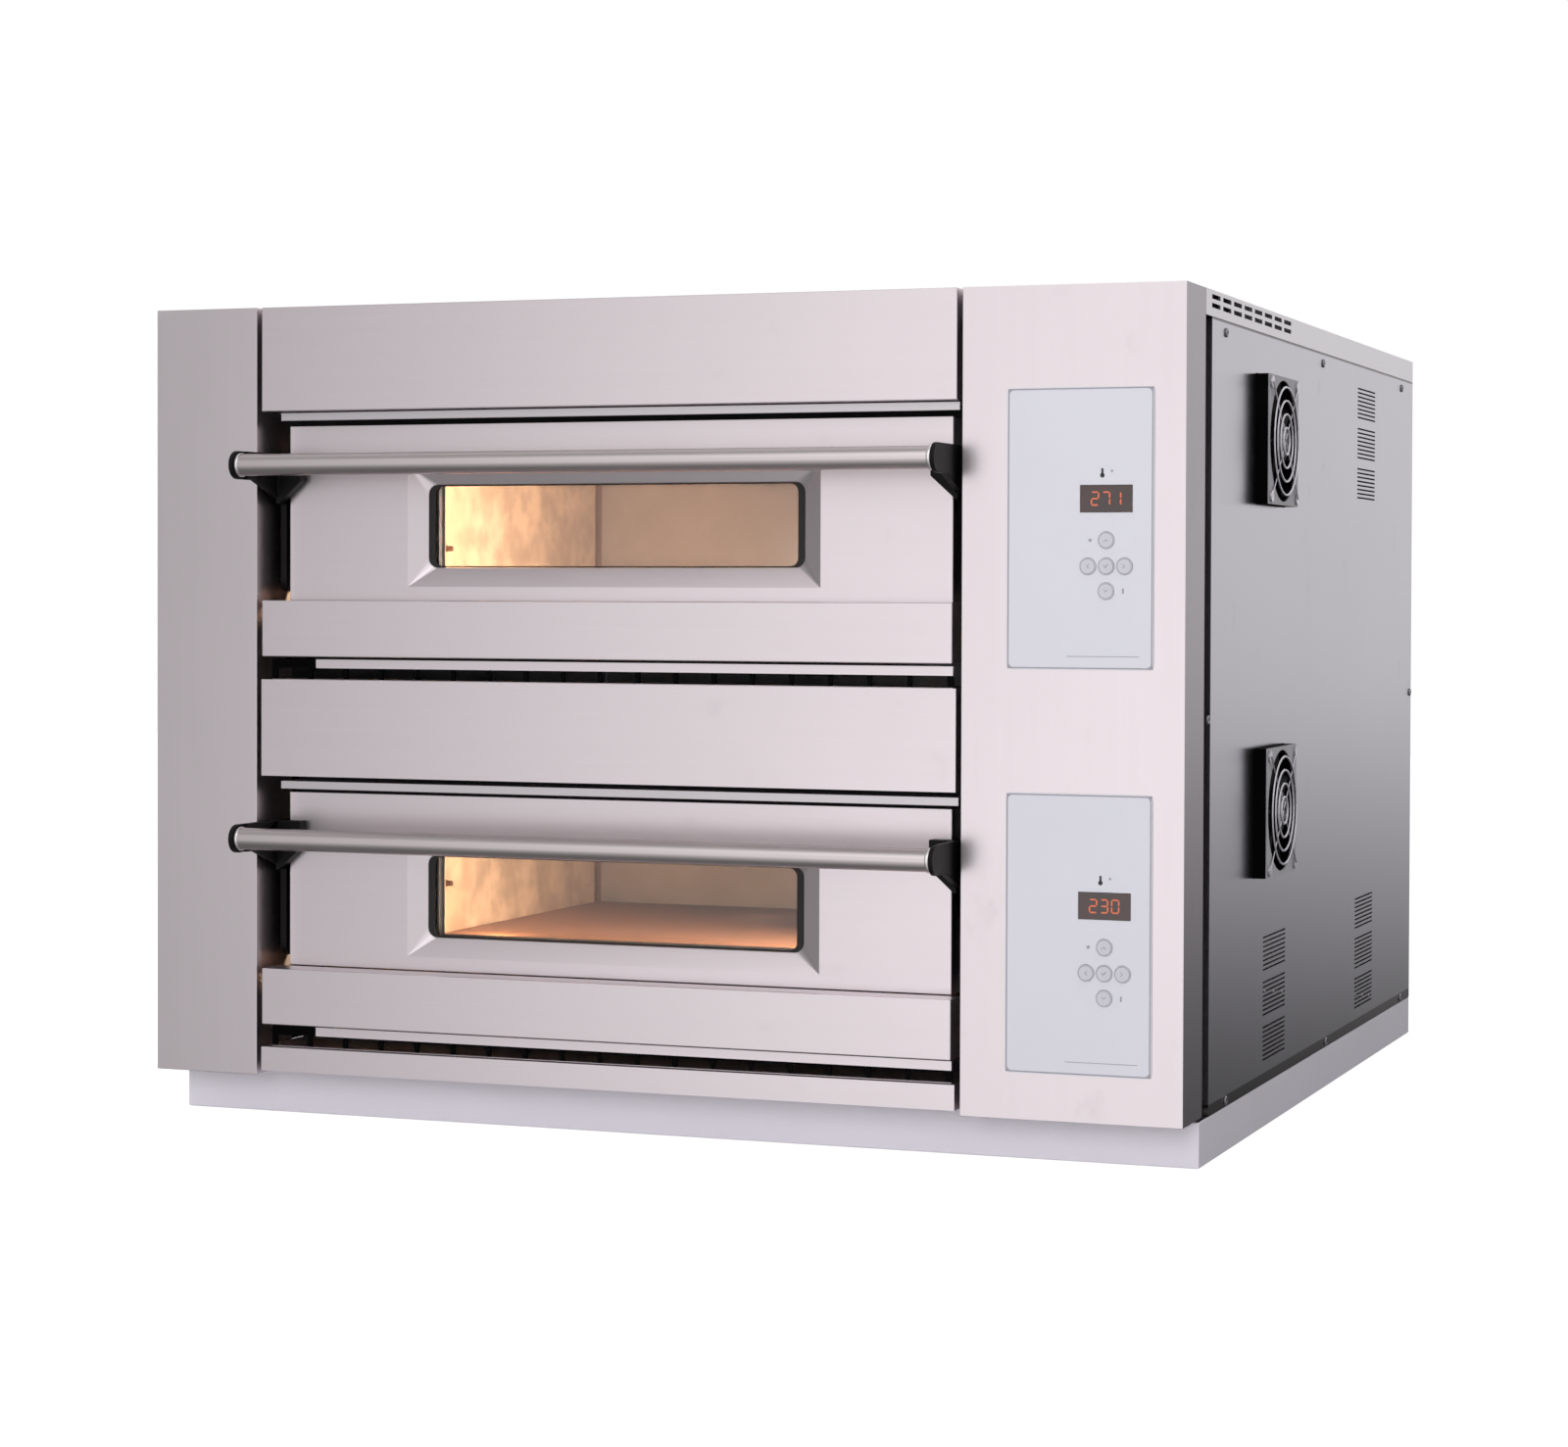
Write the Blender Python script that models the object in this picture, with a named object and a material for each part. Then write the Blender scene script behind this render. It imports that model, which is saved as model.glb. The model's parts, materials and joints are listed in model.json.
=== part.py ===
"""Double-deck electric pizza oven: two baking chambers, one above the other, in a steel casing.

Metres, +Z up. The oven's front faces -Y. The origin is on the underside of the base, in the middle of
the casing. Each sub-part is one named object. The stack of sills, doors and fascias sets the height, the
door and its columns set the width, and the chamber with the space behind it sets the depth.
"""

import math

import bmesh
import bpy
from mathutils import Matrix, Vector

# ---- Driving dimensions, in metres ----

# Casing
LEFT_COLUMN_WIDTH = 0.107
RIGHT_COLUMN_WIDTH = 0.199
COLUMN_DEPTH = 0.0655
SHEET = 0.002
REAR_SPACE = 0.315
COVER_FLANGE = 0.023
BASE_HEIGHT = 0.040
BASE_RECESS = 0.0555
COLUMN_LIFT = 0.003
SIDE_RECESS_WIDTH = 0.0225
SIDE_RECESS_DEPTH = 0.010
SEAM = 0.005
FIT = 0.0003
JOINT_GAP = 0.0005
CORNER_STEPS = 4

# Front stack, from the base up
BOTTOM_RAIL_LIFT = 0.007
BOTTOM_RAIL_HEIGHT = 0.0225
SILL_HEIGHT = 0.0525
SILL_PROUD = 0.0035
SILL_DEPTH = 0.0295
SILL_END_GAP = 0.0075
AIR_GAP = 0.0215
MIDDLE_FASCIA_HEIGHT = 0.090
UPPER_FASCIA_HEIGHT = 0.097
LOWER_HEAD_GAP = 0.0165
UPPER_HEAD_GAP = 0.0125

# Air strips under the sills
STRIP_INSET = 0.006
STRIP_SETBACK = 0.010
STRIP_GAP_ABOVE = 0.0025
AIR_SLOT_PITCH = 0.037
AIR_SLOT_BRIDGE = 0.004
AIR_SLOT_HEIGHT = 0.010

# Doors
DOOR_WIDTH = 0.658
DOOR_HEIGHT = 0.1635
DOOR_SIDE_SLOT = 0.018
DOOR_SETBACK = 0.030
DOOR_SKIN_DEPTH = 0.030
DOOR_LINER_DEPTH = 0.014
DOOR_SHEET = 0.0015
DOOR_LINER_INSET = 0.002
DOOR_CHAMFER_RISE = 0.022
WINDOW_WIDTH = 0.374
WINDOW_HEIGHT = 0.0765
WINDOW_RISE = 0.031
WINDOW_CORNER = 0.009
BEVEL_WIDTH = 0.018
BEVEL_DEPTH = 0.008
GLASS_THICKNESS = 0.004
GLASS_LAP = 0.005
OUTER_GLASS_GAP = 0.0025

# Handles and hinges
BAR_DIAMETER = 0.020
BAR_WALL = 0.0015
BAR_STANDOFF = 0.078
BAR_RISE = 0.1243
BRACKET_CLEARANCE = 0.0055
BRACKET_WIDTH = 0.0065
BRACKET_CAP_WIDTH = 0.004
BRACKET_CAP_RADIUS = 0.013
GUSSET_REACH = 0.026
GUSSET_DROP = 0.021
FOOT_WIDTH = 0.0235
FOOT_DEPTH = 0.012
ARM_HALF_DEPTH = 0.012
HINGE_RISE = 0.020
HINGE_SETBACK = 0.016
PIN_RADIUS = 0.004
HINGE_PLATE_THICKNESS = 0.0035
HINGE_PLATE_MARGIN = 0.030

# Chambers
CHAMBER_SIDE_LAP = 0.009
CHAMBER_GAP = 0.0025
CHAMBER_DEPTH = 0.6275
CHAMBER_HEIGHT = 0.155
CHAMBER_FLANGE_TOP = 0.1755
CHAMBER_FLANGE_BELOW = 0.045
STONE_THICKNESS = 0.017
STONE_RISE = 0.003
STONE_SIDE_GAP = 0.0015
HEATER_RADIUS = 0.004
HEATER_RUNS = 6
HEATER_DROP = 0.014
HEATER_MARGIN = 0.050
HEATER_END_GAP = 0.0005
LAMP_RADIUS = 0.023
LAMP_TIP_RADIUS = 0.017
LAMP_DEPTH = 0.008
LAMP_SETBACK = 0.222
LAMP_RISE = 0.037

# Controls
PANEL_WIDTH = 0.1305
PANEL_HEIGHT = 0.2415
PANEL_MARGIN = 0.0275
PANEL_CORNER = 0.005
PANEL_THICKNESS = 0.0008
LOWER_PANEL_RISE = 0.1815
UPPER_PANEL_RISE = 0.185
CONTROL_COLUMN = 0.0695
DISPLAY_DROP = 0.0954
DISPLAY_WIDTH = 0.046
DISPLAY_HEIGHT = 0.023
DISPLAY_DEPTH = 0.007
DISPLAY_PROUD = 0.0005
KEY_RADIUS = 0.0073
KEY_PITCH = 0.0162
KEY_ROW_DROPS = (0.1308, 0.1530, 0.1742)
KEY_PROUD = 0.0010
KEY_LENGTH = 0.007
KEY_TRAVEL = 0.0006
BOARD_THICKNESS = 0.0016
BOARD_MARGIN = 0.004
CUTOUT_MARGIN = 0.003

# Fans
FAN_SIZE = 0.1194
FAN_DEPTH = 0.025
FAN_PROUD = 0.0125
FAN_SETBACK = 0.314
FAN_RISE = 0.1515
FAN_DUCT_RADIUS = 0.0565
FAN_TIP_GAP = 0.0025
FAN_HUB_RADIUS = 0.021
FAN_STRUT = 0.004
FAN_BLADES = 7
FAN_BLADE_CHORD = 0.017
FAN_BLADE_THICKNESS = 0.002
FAN_BLADE_ANGLE = 50
FAN_END_GAP = 0.0012
GUARD_WIRE = 0.0011
GUARD_SPOKE = 0.0009
GUARD_RING_PHASE = 0.3
GUARD_RINGS = 4
GUARD_FIXING = 0.0525
GUARD_EYE_RADIUS = 0.0055

# Louvres, cover slots and mains entry
LOUVRE_LENGTH = 0.092
LOUVRE_WIDTH = 0.0017
LOUVRE_PITCH = 0.0043
LOUVRE_COUNT = 8
LOUVRE_GROUP_PITCH = 0.042
LOUVRE_GROUPS = 3
LOUVRE_TOP_DROP = 0.040
LOUVRE_BOTTOM_RISE = 0.038
LOUVRE_REAR_SETBACK = 0.760
LOUVRE_FRONT_SETBACK = 0.340
BACK_LOUVRE_MARGIN = 0.160
COVER_SLOT_LENGTH = 0.030
COVER_SLOT_HEIGHT = 0.004
COVER_SLOT_PITCH = 0.040
COVER_SLOT_COUNT = 8
COVER_SLOT_START = 0.021
GLAND_RADIUS = 0.015
GLAND_TIP_RADIUS = 0.012
GLAND_STEM = 0.010
GLAND_BORE = 0.007
GLAND_LENGTH = 0.020
GLAND_SIDE = 0.150
GLAND_RISE = 0.120
TERMINAL_BOX = (0.090, 0.060, 0.070)

# ---- Places worked out from the sizes above ----

FIELD_WIDTH = DOOR_WIDTH + 2 * DOOR_SIDE_SLOT
BODY_WIDTH = LEFT_COLUMN_WIDTH + FIELD_WIDTH + RIGHT_COLUMN_WIDTH
CHAMBER_SETBACK = DOOR_SETBACK + DOOR_SKIN_DEPTH + DOOR_SHEET + DOOR_LINER_DEPTH + CHAMBER_GAP
BODY_DEPTH = CHAMBER_SETBACK + CHAMBER_DEPTH + REAR_SPACE
LEFT = -BODY_WIDTH / 2
RIGHT = BODY_WIDTH / 2
FRONT = -BODY_DEPTH / 2
BACK = BODY_DEPTH / 2
FIELD_LEFT = LEFT + LEFT_COLUMN_WIDTH
FIELD_RIGHT = RIGHT - RIGHT_COLUMN_WIDTH
DOOR_CENTRE = (FIELD_LEFT + FIELD_RIGHT) / 2

COLUMN_BOTTOM = BASE_HEIGHT + COLUMN_LIFT
BOTTOM_RAIL_BOTTOM = BASE_HEIGHT + BOTTOM_RAIL_LIFT
BOTTOM_RAIL_TOP = BOTTOM_RAIL_BOTTOM + BOTTOM_RAIL_HEIGHT
LOWER_SILL_TOP = BOTTOM_RAIL_TOP + AIR_GAP + SILL_HEIGHT
MIDDLE_FASCIA_BOTTOM = LOWER_SILL_TOP + DOOR_HEIGHT + LOWER_HEAD_GAP
MIDDLE_FASCIA_TOP = MIDDLE_FASCIA_BOTTOM + MIDDLE_FASCIA_HEIGHT
UPPER_SILL_TOP = MIDDLE_FASCIA_TOP + AIR_GAP + SILL_HEIGHT
UPPER_FASCIA_BOTTOM = UPPER_SILL_TOP + DOOR_HEIGHT + UPPER_HEAD_GAP
BODY_TOP = UPPER_FASCIA_BOTTOM + UPPER_FASCIA_HEIGHT
COVER_BOTTOM = BODY_TOP - COVER_FLANGE
UPPER_LOUVRES = [COVER_BOTTOM - LOUVRE_TOP_DROP - LOUVRE_GROUP_PITCH * i for i in range(LOUVRE_GROUPS)]
LOWER_LOUVRES = [BASE_HEIGHT + LOUVRE_BOTTOM_RISE + LOUVRE_GROUP_PITCH * i for i in range(LOUVRE_GROUPS)]

# Each deck: name, height of its sill's top face, height of its control membrane's top edge
DECKS = (
    ("lower", LOWER_SILL_TOP, LOWER_SILL_TOP + LOWER_PANEL_RISE),
    ("upper", UPPER_SILL_TOP, UPPER_SILL_TOP + UPPER_PANEL_RISE),
)

DOOR_FACE = FRONT + DOOR_SETBACK
DOOR_LEFT = DOOR_CENTRE - DOOR_WIDTH / 2
DOOR_RIGHT = DOOR_CENTRE + DOOR_WIDTH / 2
BAR_AXIS = DOOR_FACE - BAR_STANDOFF
HINGE_AXIS = DOOR_FACE + HINGE_SETBACK
BRACKET_OUTER = FIELD_WIDTH / 2 - BRACKET_CLEARANCE
BAR_HALF_LENGTH = BRACKET_OUTER - BRACKET_CAP_WIDTH - FIT
CHAMBER_FACE = FRONT + CHAMBER_SETBACK
CHAMBER_HALF_WIDTH = DOOR_WIDTH / 2 - CHAMBER_SIDE_LAP
CHAMBER_BACK = CHAMBER_FACE + CHAMBER_DEPTH
CONTROL_X = RIGHT - CONTROL_COLUMN
PANEL_FACE = FRONT - FIT - PANEL_THICKNESS
FAN_Y = FRONT + FAN_SETBACK
FAN_FACE = RIGHT + FAN_PROUD

# ---- Finishes: colour, roughness, metallic ----

FINISHES = {
    "stainless": ((0.62, 0.60, 0.62), 0.35, 1.0),
    "side_sheet": ((0.50, 0.50, 0.53), 0.30, 1.0),
    "base_paint": ((0.62, 0.62, 0.66), 0.50, 0.0),
    "bar_steel": ((0.70, 0.68, 0.68), 0.18, 1.0),
    "black_moulding": ((0.02, 0.02, 0.02), 0.45, 0.0),
    "liner_steel": ((0.55, 0.45, 0.36), 0.45, 1.0),
    "hearth_stone": ((0.62, 0.50, 0.38), 0.90, 0.0),
    "heater_sheath": ((0.12, 0.11, 0.10), 0.60, 0.8),
    "window_glass": ((0.85, 0.88, 0.88), 0.05, 0.0),
    "lamp_glass": ((1.00, 0.85, 0.60), 0.20, 0.0),
    "membrane": ((0.78, 0.80, 0.86), 0.35, 0.0),
    "key_film": ((0.80, 0.82, 0.88), 0.30, 0.0),
    "display_lens": ((0.05, 0.01, 0.01), 0.10, 0.0),
    "circuit_board": ((0.05, 0.22, 0.10), 0.55, 0.0),
    "fan_black": ((0.03, 0.03, 0.03), 0.55, 0.0),
    "guard_wire": ((0.60, 0.60, 0.62), 0.25, 1.0),
    "hinge_steel": ((0.30, 0.30, 0.31), 0.45, 1.0),
    "gland_plastic": ((0.05, 0.05, 0.05), 0.50, 0.0),
    "terminal_plastic": ((0.55, 0.55, 0.52), 0.50, 0.0),
}


def finish_material(name):
    """The material of this finish, made once."""
    made = bpy.data.materials.get(name)
    if made is not None:
        return made
    colour, roughness, metallic = FINISHES[name]
    made = bpy.data.materials.new(name)
    made.use_nodes = True
    shader = made.node_tree.nodes["Principled BSDF"]
    shader.inputs["Base Color"].default_value = (*colour, 1.0)
    shader.inputs["Roughness"].default_value = roughness
    shader.inputs["Metallic"].default_value = metallic
    return made


# ---- Shape helpers ----


def new_object(name, shape, finish, origin=(0, 0, 0)):
    """An object that holds a bmesh given in world places, with its own origin where asked."""
    bmesh.ops.translate(shape, verts=shape.verts, vec=-Vector(origin))
    mesh = bpy.data.meshes.new(name)
    shape.to_mesh(mesh)
    shape.free()
    made = bpy.data.objects.new(name, mesh)
    made.location = origin
    mesh.materials.append(finish_material(finish))
    bpy.context.scene.collection.objects.link(made)
    return made


def add_box(shape, low, high):
    low, high = Vector(low), Vector(high)
    place = Matrix.Translation((low + high) / 2) @ Matrix.Diagonal((*(high - low), 1))
    return bmesh.ops.create_cube(shape, size=1, matrix=place)["verts"]


def turned_to(axis):
    """The turn that takes +Z to this axis."""
    return Vector((0, 0, 1)).rotation_difference(Vector(axis)).to_matrix().to_4x4()


def add_cylinder(shape, start, axis, length, radius, end_radius=None, sides=24):
    """A capped cylinder, or a cone where it ends in another radius, from start along axis."""
    middle = Vector(start) + Vector(axis) * length / 2
    bmesh.ops.create_cone(
        shape, cap_ends=True, segments=sides, radius1=radius,
        radius2=radius if end_radius is None else end_radius,
        depth=length, matrix=Matrix.Translation(middle) @ turned_to(axis),
    )


def box(name, low, high, finish):
    shape = bmesh.new()
    add_box(shape, low, high)
    return new_object(name, shape, finish, (Vector(low) + Vector(high)) / 2)


def prism(name, axis, outline, start, end, finish):
    """A closed outline carried along X, given as (y, z), or along Y or Z, given as the other two."""
    slot = "XYZ".index(axis)
    shape = bmesh.new()
    ring = [shape.verts.new((*point[:slot], start, *point[slot:])) for point in outline]
    face = shape.faces.new(ring)
    grown = bmesh.ops.extrude_face_region(shape, geom=[face])["geom"]
    travel = Vector((0, 0, 0))
    travel[slot] = end - start
    bmesh.ops.translate(shape, verts=[v for v in grown if isinstance(v, bmesh.types.BMVert)], vec=travel)
    bmesh.ops.recalc_face_normals(shape, faces=shape.faces)
    return new_object(name, shape, finish)


def arc(centre, radius, first, last, steps):
    """Points on an arc, from the first angle to the last, in degrees."""
    turns = [math.radians(first + (last - first) * i / steps) for i in range(steps + 1)]
    return [(centre[0] + radius * math.cos(t), centre[1] + radius * math.sin(t)) for t in turns]


def rounded_rectangle(low, high, radius):
    """An anticlockwise outline with round corners, starting at the lower left one."""
    steps = CORNER_STEPS
    (x0, z0), (x1, z1) = low, high
    corners = ((x0 + radius, z0 + radius), (x1 - radius, z0 + radius),
               (x1 - radius, z1 - radius), (x0 + radius, z1 - radius))
    return [p for i, c in enumerate(corners) for p in arc(c, radius, 180 + 90 * i, 270 + 90 * i, steps)]


def thicken(made, wall):
    """Gives an open sheet its wall, on the side away from its faces."""
    wall_step = made.modifiers.new("wall", "SOLIDIFY")
    wall_step.thickness = wall
    wall_step.offset = -1
    wall_step.use_even_offset = True
    return made


def tray(name, low, high, open_side, wall, finish):
    """A folded sheet tray: a box with one side left open. open_side is an outward direction."""
    shape = bmesh.new()
    add_box(shape, low, high)
    shape.normal_update()
    opened = [face for face in shape.faces if face.normal.dot(Vector(open_side)) > 0.9]
    bmesh.ops.delete(shape, geom=opened, context="FACES")
    return thicken(new_object(name, shape, finish, (Vector(low) + Vector(high)) / 2), wall)


def hidden(made):
    made.hide_render = True
    made.display_type = "WIRE"
    return made


def helper(name, shape):
    """A hidden cutter or a piece to be joined on."""
    return hidden(new_object(name, shape, "hinge_steel"))


def attach(piece, parent):
    """Parents a piece and leaves it where it is. Neither is turned or scaled."""
    piece.parent = parent
    piece.matrix_parent_inverse = Matrix.Translation(parent.location).inverted()


def combine(made, operation, other):
    attach(other, made)
    step = made.modifiers.new(other.name, "BOOLEAN")
    step.operation = operation
    step.solver = "EXACT"
    step.object = other
    return made


def cut_boxes(made, name, boxes):
    shape = bmesh.new()
    for low, high in boxes:
        add_box(shape, low, high)
    return combine(made, "DIFFERENCE", helper(name, shape))


def smooth(made):
    made.data.shade_smooth()
    made.data.set_sharp_from_angle(angle=math.radians(35))
    return made


# ---- Casing ----


def base_plinth():
    low = (LEFT, FRONT + BASE_RECESS, 0)
    return tray("base_plinth", low, (RIGHT, BACK, BASE_HEIGHT), (0, 0, 1), SHEET, "base_paint")


def front_columns():
    """Two upright folded trays. Their inner walls hold the door pins, so they are drilled for them."""
    left = tray("left_front_column", (LEFT, FRONT, COLUMN_BOTTOM),
                (FIELD_LEFT, FRONT + COLUMN_DEPTH, BODY_TOP), (0, 1, 0), SHEET, "stainless")
    right = tray("right_front_column", (FIELD_RIGHT, FRONT, COLUMN_BOTTOM),
                 (RIGHT, FRONT + COLUMN_DEPTH, BODY_TOP), (0, 1, 0), SHEET, "stainless")
    for column, name, x in ((left, "left", FIELD_LEFT), (right, "right", FIELD_RIGHT)):
        holes = bmesh.new()
        for _, sill_top, _ in DECKS:
            start = (x - 2 * SHEET, HINGE_AXIS, sill_top + HINGE_RISE)
            add_cylinder(holes, start, (1, 0, 0), 4 * SHEET, PIN_RADIUS + FIT, sides=16)
        combine(column, "DIFFERENCE", helper(f"{name}_pin_holes", holes))
    half = DISPLAY_WIDTH / 2 + CUTOUT_MARGIN
    windows = []
    for _, _, panel_top in DECKS:
        low = panel_top - KEY_ROW_DROPS[-1] - KEY_RADIUS - CUTOUT_MARGIN
        high = panel_top - DISPLAY_DROP + DISPLAY_HEIGHT / 2 + CUTOUT_MARGIN
        windows.append(((CONTROL_X - half, FRONT - SHEET, low), (CONTROL_X + half, FRONT + 2 * SHEET, high)))
    cut_boxes(right, "control_cutouts", windows)


def front_band(name, bottom, top):
    """A folded tray across the front, between the columns."""
    low = (FIELD_LEFT + SEAM, FRONT, bottom)
    high = (FIELD_RIGHT - SEAM, FRONT + COLUMN_DEPTH, top)
    return tray(name, low, high, (0, 1, 0), SHEET, "stainless")


def add_air_strip(band, top):
    """Joins an upright strip with a row of air slots to the top of a band."""
    left = FIELD_LEFT + SEAM + STRIP_INSET
    right = FIELD_RIGHT - SEAM - STRIP_INSET
    front = FRONT + STRIP_SETBACK
    strip = bmesh.new()
    add_box(strip, (left, front, top - SHEET / 2), (right, front + SHEET, top + AIR_GAP - STRIP_GAP_ABOVE))
    combine(band, "UNION", helper(f"{band.name}_strip", strip))
    count = int((right - left - AIR_SLOT_BRIDGE) / AIR_SLOT_PITCH)
    start = (left + right - count * AIR_SLOT_PITCH) / 2
    low = top + SHEET / 4
    slots = []
    for i in range(count):
        x = start + i * AIR_SLOT_PITCH + AIR_SLOT_BRIDGE / 2
        slots.append(((x, front - SHEET, low),
                      (x + AIR_SLOT_PITCH - AIR_SLOT_BRIDGE, front + 2 * SHEET, low + AIR_SLOT_HEIGHT)))
    cut_boxes(band, f"{band.name}_slots", slots)


def front_bands():
    front_band("upper_fascia", UPPER_FASCIA_BOTTOM, BODY_TOP)
    add_air_strip(front_band("middle_fascia", MIDDLE_FASCIA_BOTTOM, MIDDLE_FASCIA_TOP), MIDDLE_FASCIA_TOP)
    add_air_strip(front_band("bottom_rail", BOTTOM_RAIL_BOTTOM, BOTTOM_RAIL_TOP), BOTTOM_RAIL_TOP)


def loading_sill(deck, sill_top):
    low = (FIELD_LEFT + SILL_END_GAP, FRONT - SILL_PROUD, sill_top - SILL_HEIGHT)
    high = (FIELD_RIGHT - SILL_END_GAP, FRONT - SILL_PROUD + SILL_DEPTH, sill_top)
    return tray(f"{deck}_sill", low, high, (0, 1, 0), SHEET, "stainless")


def top_cover():
    """An inverted tray behind the columns, with two rows of slots through both side flanges."""
    front = FRONT + COLUMN_DEPTH + JOINT_GAP
    cover = tray("top_cover", (LEFT, front, COVER_BOTTOM), (RIGHT, BACK, BODY_TOP), (0, 0, -1), SHEET,
                 "stainless")
    slots = []
    for row in (1, 2):
        z = COVER_BOTTOM + row * COVER_FLANGE / 3
        for i in range(COVER_SLOT_COUNT):
            y = front + COVER_SLOT_START + i * COVER_SLOT_PITCH
            far_corner = (RIGHT + SHEET, y + COVER_SLOT_LENGTH, z + COVER_SLOT_HEIGHT)
            slots.append(((LEFT - SHEET, y, z), far_corner))
    return cut_boxes(cover, "cover_slots", slots)


def louvre_slots(across, heights):
    """The low and high corners, in the plane of a panel, of the slots of the groups at these heights."""
    corners = []
    for height in heights:
        for i in range(LOUVRE_COUNT):
            z = height + (i - (LOUVRE_COUNT - 1) / 2) * LOUVRE_PITCH
            corners.append(((across - LOUVRE_LENGTH / 2, z - LOUVRE_WIDTH / 2),
                            (across + LOUVRE_LENGTH / 2, z + LOUVRE_WIDTH / 2)))
    return corners


def side_panels():
    """Flat sheets with a front edge joggled in behind the column. The right one holds the fans."""
    front = FRONT + COLUMN_DEPTH + SIDE_RECESS_WIDTH
    tucked = FRONT + COLUMN_DEPTH + JOINT_GAP
    bottom, top = BASE_HEIGHT + JOINT_GAP, COVER_BOTTOM - JOINT_GAP
    panels = []
    for name, x, inward in (("left", LEFT, 1), ("right", RIGHT, -1)):
        deep = x + inward * SIDE_RECESS_DEPTH
        thick = inward * SHEET
        outline = [(x, BACK), (x, front), (deep, front), (deep, tucked), (deep + thick, tucked),
                   (deep + thick, front + SHEET), (x + thick, front + SHEET), (x + thick, BACK)]
        panels.append(prism(f"{name}_side_panel", "Z", outline, bottom, top, "side_sheet"))
    rear, middle = FRONT + LOUVRE_REAR_SETBACK, FRONT + LOUVRE_FRONT_SETBACK
    openings = []
    for y, heights in ((rear, UPPER_LOUVRES), (rear, LOWER_LOUVRES), (middle, LOWER_LOUVRES)):
        for (y0, z0), (y1, z1) in louvre_slots(y, heights):
            openings.append(((RIGHT - 2 * SHEET, y0, z0), (RIGHT + SHEET, y1, z1)))
    half = FAN_SIZE / 2 + 2 * FIT
    for _, sill_top, _ in DECKS:
        z = sill_top + FAN_RISE
        near_corner = (RIGHT - 2 * SHEET, FAN_Y - half, z - half)
        openings.append((near_corner, (RIGHT + SHEET, FAN_Y + half, z + half)))
    cut_boxes(panels[1], "side_openings", openings)


def back_panel():
    inset = SHEET + FIT
    bottom, top = BASE_HEIGHT + JOINT_GAP, COVER_BOTTOM - JOINT_GAP
    panel = box("back_panel", (LEFT + inset, BACK - SHEET, bottom), (RIGHT - inset, BACK, top), "side_sheet")
    hole = bmesh.new()
    start = (RIGHT - GLAND_SIDE, BACK - 2 * SHEET, GLAND_RISE)
    add_cylinder(hole, start, (0, 1, 0), 4 * SHEET, GLAND_BORE + SHEET + FIT, sides=24)
    combine(panel, "DIFFERENCE", helper("gland_hole", hole))
    slots = []
    for x in (LEFT + BACK_LOUVRE_MARGIN, RIGHT - BACK_LOUVRE_MARGIN):
        for (x0, z0), (x1, z1) in louvre_slots(x, UPPER_LOUVRES):
            slots.append(((x0, BACK - 2 * SHEET, z0), (x1, BACK + SHEET, z1)))
    return cut_boxes(panel, "back_louvres", slots)


def mains_entry():
    """A bored cable gland through the back panel, and the terminal box just inside."""
    x = RIGHT - GLAND_SIDE
    gland = bmesh.new()
    add_cylinder(gland, (x, BACK + FIT, GLAND_RISE), (0, 1, 0), GLAND_LENGTH, GLAND_RADIUS, GLAND_TIP_RADIUS)
    made = new_object("cable_gland", gland, "gland_plastic")
    stem = bmesh.new()
    start = (x, BACK - GLAND_STEM, GLAND_RISE)
    add_cylinder(stem, start, (0, 1, 0), GLAND_STEM + GLAND_LENGTH / 2, GLAND_BORE + SHEET)
    combine(made, "UNION", helper("gland_stem", stem))
    bore = bmesh.new()
    start = (x, BACK - 2 * GLAND_STEM, GLAND_RISE)
    add_cylinder(bore, start, (0, 1, 0), 3 * GLAND_STEM + 2 * GLAND_LENGTH, GLAND_BORE)
    combine(made, "DIFFERENCE", helper("gland_bore", bore))
    width, depth, height = TERMINAL_BOX
    low = (x + 2 * GLAND_RADIUS, BACK - SHEET - FIT - depth, GLAND_RISE - height / 2)
    box("terminal_box", low, (low[0] + width, low[1] + depth, low[2] + height), "terminal_plastic")


# ---- Baking chambers ----


def open_sheet(name, shape, outward, finish, wall):
    """Turns an open surface so that its front faces look outward, then thickens it behind them."""
    bmesh.ops.recalc_face_normals(shape, faces=shape.faces)
    probe = max(shape.faces, key=lambda face: face.calc_center_median().dot(Vector(outward)))
    if probe.normal.dot(Vector(outward)) < 0:
        bmesh.ops.reverse_faces(shape, faces=shape.faces)
    return thicken(new_object(name, shape, finish), wall)


def loop_of(shape, low, high, y):
    """Four corners, anticlockwise seen from the front, at one depth."""
    (x0, z0), (x1, z1) = low, high
    return [shape.verts.new((x, y, z)) for x, z in ((x0, z0), (x1, z0), (x1, z1), (x0, z1))]


def join_loops(shape, first, second):
    count = len(first)
    for i in range(count):
        j = (i + 1) % count
        shape.faces.new((first[i], first[j], second[j], second[i]))


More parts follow.
